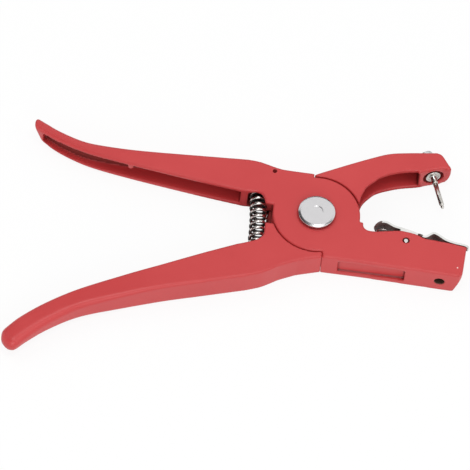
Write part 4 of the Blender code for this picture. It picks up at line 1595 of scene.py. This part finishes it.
    def made(self, paint: bpy.types.Material) -> bpy.types.Object:
        """Build and paint the casting.

        Args:
            paint: Its finish.

        Returns:
            The casting.
        """
        piece = Solid.prism(self.outline(), SKIN, BODY, self.rim, 4).piece("clip_side_casting")
        combine(piece, self.cuts())
        soften(piece, self.cell, 2)
        channel, hinge, drilled = self.handle.hollow_shade(), Vector(self.clip.hinge), Vector(self.drill_mark)

        def hollow_shade(spot: Vector) -> float:
            """How much painted shade a place gets in the channel, the spring's pocket or a hole.

            Args:
                spot: The place in millimetres.

            Returns:
                1 inside, 0 outside and less than 1 as painted shade on the wall beside the spring.
            """
            if self.spring.in_pocket(spot, self.spring.upper, self.spring.lower):
                return 1.0
            if (spot.xy - hinge).length < self.clip.cheek_hole / 2 + 0.4 and spot.z < BODY - 0.3:
                return 1.0
            if (spot.xy - drilled).length < 1.3 and spot.z > BODY - 2:
                return float(spot.z < BODY - 0.2)
            # Painted shade on the wall beside the spring.
            (left, right), (low, high) = self.shaded_patch
            beside = left < spot.x < right and low < spot.y < high and spot.z < BODY - 0.8
            return 0.6 if beside else channel(spot)

        # Painted shade for the channel, pockets and holes is marked on the vertices.
        mark(piece, HOLLOW_SHADE, hollow_shade)
        dress(piece, paint, "clip_jaw_casting")
        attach(piece, "clip_side")
        return piece


@dataclass
class PinCasting:
    """Lower handle, back half of the hub and upper jaw."""

    spring: ReturnSpring
    pivot: Pivot
    needle: TagPin
    stop: Point = (5.5, -26.6)
    stop_gap: float = 0.1
    hub_degrees: Triple = (20.4, 96.0, 203.0)
    spring_side: list[Point] = field(default_factory=lambda: [
        (-26.6, -8.9), (-26.7, -12.4), (-26.6, -15.9), (-28.2, -18.7), (-31.0, -20.9),
        (-36.0, -23.1)])
    bed: tuple[Point, Point] = ((-44.6, -28.4), (-38.6, -43.2))
    saddle: list[Point] = field(default_factory=lambda: [
        (-25.5, -41.0), (-20.1, -37.7), (-15.5, -34.7), (-7.0, -30.5)])
    rim: float = 0.8
    cell: float = 0.53
    wall: float = 2.6
    side_wall: float = 2.4
    pocket_end: float = 52.0
    nose_round: Point = (7.0, 14.0)
    lobe: Triple = (25.4, 164.0, 204.0)
    low_lobe: Triple = (26.3, 164.0, 204.0)
    lip: list[Point] = field(default_factory=lambda: [
        (24.0, 20.0), (26.8, 23.5), (31.2, 28.1), (36.0, 31.0), (41.5, 33.2), (46.5, 34.5),
        (50.5, 35.2), (51.9, 35.4), (51.9, 33.0), (46.0, 29.0), (36.0, 25.0), (26.0, 18.0)])
    top: list[Point] = field(default_factory=lambda: [
        (-3.2, 24.9), (-0.8, 26.3), (4.3, 29.0), (14.4, 34.3), (24.6, 39.4), (34.9, 44.0),
        (45.5, 46.2), (56.1, 47.7)])
    nose: list[Point] = field(default_factory=lambda: [
        (60.4, 48.4), (62.9, 47.6), (64.6, 45.8), (66.7, 42.7), (68.6, 40.1), (69.0, 38.9),
        (67.8, 38.3), (64.8, 38.9)])
    lower: list[Point] = field(default_factory=lambda: [
        (60.0, 37.4), (56.0, 36.0), (52.0, 34.4), (41.5, 31.7), (31.2, 27.2), (26.8, 23.0),
        (24.0, 19.0), (22.6, 14.6)])
    handle: Handle = field(default_factory=lambda: Handle(
        inner=[(-41.0, -25.0), (-59.1, -33.6), (-79.6, -43.8), (-100.0, -53.7), (-118.0, -62.6),
               (-129.4, -69.2), (-140.4, -76.8), (-150.2, -85.0), (-156.7, -92.2)],
        outer=[(-33.5, -44.2), (-56.3, -51.4), (-77.1, -58.1), (-97.8, -66.2), (-118.5, -75.3),
               (-133.6, -86.0), (-143.4, -95.3), (-148.8, -101.4)],
        tip_thickness=9.8, taper=(0.4, 1.1), nose=5.15, edge_radii=(1.0, 4.6),
        channel_span=(0.03, 0.9)))

    def outline(self) -> list[Point]:
        """Plan of the hub, the handle's root and the upper jaw.

        Returns:
            The outline.
        """
        stop_x = self.stop[0] - self.stop_gap
        stop = -math.degrees(math.acos(stop_x / HUB_RADIUS))
        jaw, top, end = self.hub_degrees
        plan = [(stop_x, self.stop[1])] + arc(HUB_RADIUS, stop, jaw, 50)
        for points, count in ((self.lower, 36), (self.nose, 20), (self.top, 30)):
            plan += pairs(points, count)[::-1]
        plan += arc(HUB_RADIUS, top, end, 60)
        plan += [*pairs([*self.spring_side, self.handle.inner[0]], 20), *self.bed]
        return plan + pairs([self.handle.outer[0], *self.saddle], 24)

    def nose_trim(self) -> Solid:
        """What the jaw's nose lacks where its back corner is rounded off.

        Returns:
            The cutter.
        """
        tip = max(x for x, _ in self.nose) + 0.2
        reach, rise = self.nose_round
        outline = [(tip - reach + reach * x, rise + rise * z) for x, z in arc(1.0, 0, -84, 18)]
        outline += [(outline[-1][0], -1.0), (tip + 4, -1.0), (tip + 4, rise)]
        return Solid.side(outline, self.needle.seat[1] - 8, self.needle.seat[1] + BODY)

    def jaw_pocket(self) -> Solid:
        """The cored pocket in the underside of the jaw.

        Returns:
            The cutter.
        """
        outline = arc(HUB_RADIUS + self.wall, 26.0, 54.0, 12)
        for x, y in pairs(self.top, 50):
            if 18.5 < x < self.pocket_end - 1.0:
                outline.append((x + 0.35 * self.wall, y - self.wall - 0.4))
        outline += [(self.pocket_end, 41.6), (self.pocket_end, 29.0), (37.0, 24.0), (30.0, 17.0)]
        return Solid.prism(outline, self.side_wall, BODY - self.side_wall)

    def cuts(self) -> list[tuple[Cut, Solid]]:
        """Everything that shapes the casting after its plan is extruded.

        Returns:
            The cuts in order.
        """
        return [
            (Cut.JOINED, self.handle.solid()),
            (Cut.JOINED, Solid.prism([(0, 0)] + arc(*self.lobe, 24), SKIN, MID - LAP_GAP / 2)),
            (Cut.JOINED, Solid.prism([(0, 0)] + arc(*self.low_lobe, 24), SKIN, MID / 2)),
            (Cut.AWAY, Solid.rod(2 * (HUB_RADIUS + SEAM), MID - LAP_GAP / 2, BODY + 4, 144)),
            (Cut.AWAY, self.handle.channel()),
            (Cut.AWAY, self.spring.pocket(self.spring.lower, self.spring.upper)),
            (Cut.AWAY, self.nose_trim()),
            (Cut.AWAY, self.jaw_pocket()),
            (Cut.AWAY, Solid.prism(self.lip, MID, BODY + 2)),
            (Cut.AWAY, self.pivot.back_bore()),
            (Cut.AWAY, self.needle.bore()),
        ]

    def made(self, paint: bpy.types.Material) -> bpy.types.Object:
        """Build and paint the casting.

        Args:
            paint: Its finish.

        Returns:
            The casting.
        """
        piece = Solid.prism(self.outline(), SKIN, BODY, self.rim, 4).piece("pin_side_casting")
        combine(piece, self.cuts())
        soften(piece, self.cell, 2)
        channel, roof = self.handle.hollow_shade(), curve(self.top, 60)

        def hollow_shade(spot: Vector) -> float:
            """How much painted shade a place gets in the channel or in one of the three pockets.

            Args:
                spot: The place in millimetres.

            Returns:
                1 inside and 0 outside.
            """
            if (self.needle.in_pocket(spot)
                    or self.spring.in_pocket(spot, self.spring.lower, self.spring.upper)):
                return 1.0
            if spot.x < -23.5 and spot.xy.length < self.low_lobe[0] + 0.3 and spot.z < MID + 0.5:
                return 1.0
            if spot.x < 18 or spot.x > self.pocket_end + 0.3 or spot.xy.length < HUB_RADIUS + 1.2:
                return channel(spot)
            top = min(roof, key=lambda point: abs(point.x - spot.x)).y
            return float(abs(spot.z - MID) < MID - self.side_wall - NEAR_WALL and spot.y < top - 1.4)

        # Painted shade for the channel and the pockets is marked on the vertices.
        mark(piece, HOLLOW_SHADE, hollow_shade)
        dress(piece, paint, "pin_jaw_casting")
        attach(piece, "pin_side")
        return piece


@dataclass
class Studio:
    """Camera at the photograph's angle, a pale table and soft plain light."""

    elevation: float = 57.0
    roll: float = 7.0
    distance: float = 4.8
    focal_px: float = 9000.0
    image_px: float = 470.0
    pivot_px: Point = (316.6, 213.7)
    sensor: float = 36.0
    world: float = 0.65
    table_size: Point = (6.0, 6.0)
    table_drop: float = 0.0002
    cards: dict[str, tuple[Triple, Point]] = field(default_factory=lambda: {
        "left_card": ((-0.42, 0.05, 1.0), (0.5, 0.9)),
        "right_card": ((0.62, 0.10, 0.95), (0.3, 0.6)),
        "back_left_card": ((-1.0, 0.65, 0.25), (0.6, 0.6)),
        "back_card": ((0.0, 1.6, 0.25), (2.4, 0.5)),
        "camera_card": ((0.0, -0.95, 1.45), (0.9, 0.7)),
        "handle_card": ((-0.20, -0.03, 0.2), (0.4, 0.3))})
    flags: dict[str, tuple[Point, Point]] = field(default_factory=lambda: {
        "spring_flag": ((-0.036, -0.004), (0.06, 0.05)),
        "needle_flag": ((0.034, 0.022), (0.042, 0.035))})
    lamps: dict[str, tuple[Triple, float, float]] = field(default_factory=lambda: {
        "top_lamp": ((0.10, -0.18, 1.5), 0.5, 4.5),
        "key_lamp": ((-1.05, 0.35, 1.15), 0.9, 4.0),
        "fill_lamp": ((1.15, -0.35, 0.9), 0.8, 2.5),
        "front_lamp": ((0.3, -1.5, 0.8), 0.9, 7.0)})

    def camera(self) -> None:
        """Make the scene's camera."""
        rise, tilt = math.radians(self.elevation), math.radians(self.roll)
        ahead = Vector((0, math.cos(rise), -math.sin(rise)))
        level, up = Vector((1, 0, 0)), Vector((0, math.sin(rise), math.cos(rise)))
        right = math.cos(tilt) * level + math.sin(tilt) * up
        upward = -math.sin(tilt) * level + math.cos(tilt) * up
        middle = self.image_px / 2
        metre = self.distance / self.focal_px
        aim = Vector((0, 0, BODY * MM))
        place = (aim - self.distance * ahead - (self.pivot_px[0] - middle) * metre * right
                 - (middle - self.pivot_px[1]) * metre * upward)
        data = bpy.data.cameras.new("photo_camera")
        data.sensor_width = self.sensor
        data.lens = self.focal_px / self.image_px * self.sensor
        camera = stand("photo_camera", data)
        matrix = Matrix((right, upward, -ahead)).transposed().to_4x4()
        matrix.translation = place
        camera.matrix_world = matrix
        bpy.context.scene.camera = camera

    def lamp(self, name: str, place: Triple, size: float, watts: float) -> None:
        """Add one soft square lamp that faces the tool.

        Args:
            name: The lamp's name.
            place: Where it hangs, in metres.
            size: Its side.
            watts: Its power.
        """
        data = bpy.data.lights.new(name, "AREA")
        data.shape = "SQUARE"
        data.size = size
        data.energy = watts
        lamp = stand(name, data)
        lamp.location = place
        lamp.rotation_mode = "QUATERNION"
        lamp.rotation_quaternion = (-Vector(place)).to_track_quat("-Z", "Y")

    def card(self, name: str, where: Matrix, size: Point, material: bpy.types.Material) -> None:
        """Add a dark card that only reflections see.

        Args:
            name: The card's name.
            where: Its place and turn, in metres.
            size: Its width and height.
            material: Its surface.
        """
        card = flat(name, where, size, material)
        card.visible_camera = False
        card.visible_diffuse = False
        card.visible_shadow = False

    def sky(self) -> None:
        """Light the scene evenly and show white behind it."""
        book = NodeBook(bpy.data.worlds.new("studio"))
        soft, white = (book.node("ShaderNodeBackground", {}, {"Color": grey(1.0), "Strength": strength})
                       for strength in (self.world, 1.0))
        bpy.context.scene.world = book.finished(book.mixed(book.seen(), soft, white), "World")
        bpy.context.scene.view_settings.view_transform = "Standard"

    def made(self) -> None:
        """Set up the whole studio."""
        self.camera()
        self.sky()
        flat("table", Matrix.Translation((0, 0, -self.table_drop)), self.table_size, PaleTable().made())
        dark = DarkCard().made()
        for name, (place, size) in self.cards.items():
            turn = (-Vector(place)).to_track_quat("Z", "Y").to_matrix().to_4x4()
            self.card(name, Matrix.Translation(place) @ turn, size, dark)
        for name, (place, size) in self.flags.items():
            self.card(name, Matrix.Translation((*place, 0.0)), size, dark)
        for name, (place, size, watts) in self.lamps.items():
            self.lamp(name, place, size, watts)


def main() -> None:
    """Build the tool and the studio."""
    logging.basicConfig(level=logging.INFO, format="%(message)s")
    Studio().made()
    paint = SatinPaint().made()
    # The spring wire's painted shade is near black.
    wire = DrawnSteel("bright_spring_wire", (0.70, 0.67, 0.64, 1.0), (0.40, 0.36, 0.33, 1.0), 0.20,
                      painted_shade=(0.020, 0.015, 0.013, 1.0)).made()
    zinc = TurnedSteel("zinc_plate", (0.60, 0.61, 0.62, 1.0), 0.36).made()
    plate = DrawnSteel("nickel_sheet", (0.80, 0.80, 0.78, 1.0), (0.62, 0.61, 0.58, 1.0), 0.17,
                       0.35).made()
    spring, pivot, clip, needle = ReturnSpring(), Pivot(), TagClip(), TagPin()
    ClipCasting(spring, pivot, clip, needle).made(paint)
    PinCasting(spring, pivot, needle).made(paint)
    pivot.made(TurnedSteel("turned_pivot_steel").made(), zinc)
    spring.made(wire)
    shaft = DrawnSteel("needle_steel", (0.56, 0.54, 0.51, 1.0), (0.30, 0.27, 0.22, 1.0), 0.22, 0.6).made()
    cap = TurnedSteel("nut_plate", (0.70, 0.70, 0.70, 1.0), 0.42).made()
    needle.made(shaft, cap, zinc)
    clip.made(plate, TurnedSteel("hinge_pin_steel", (0.74, 0.73, 0.71, 1.0), 0.22).made(), wire)


if __name__ == "__main__":
    main()
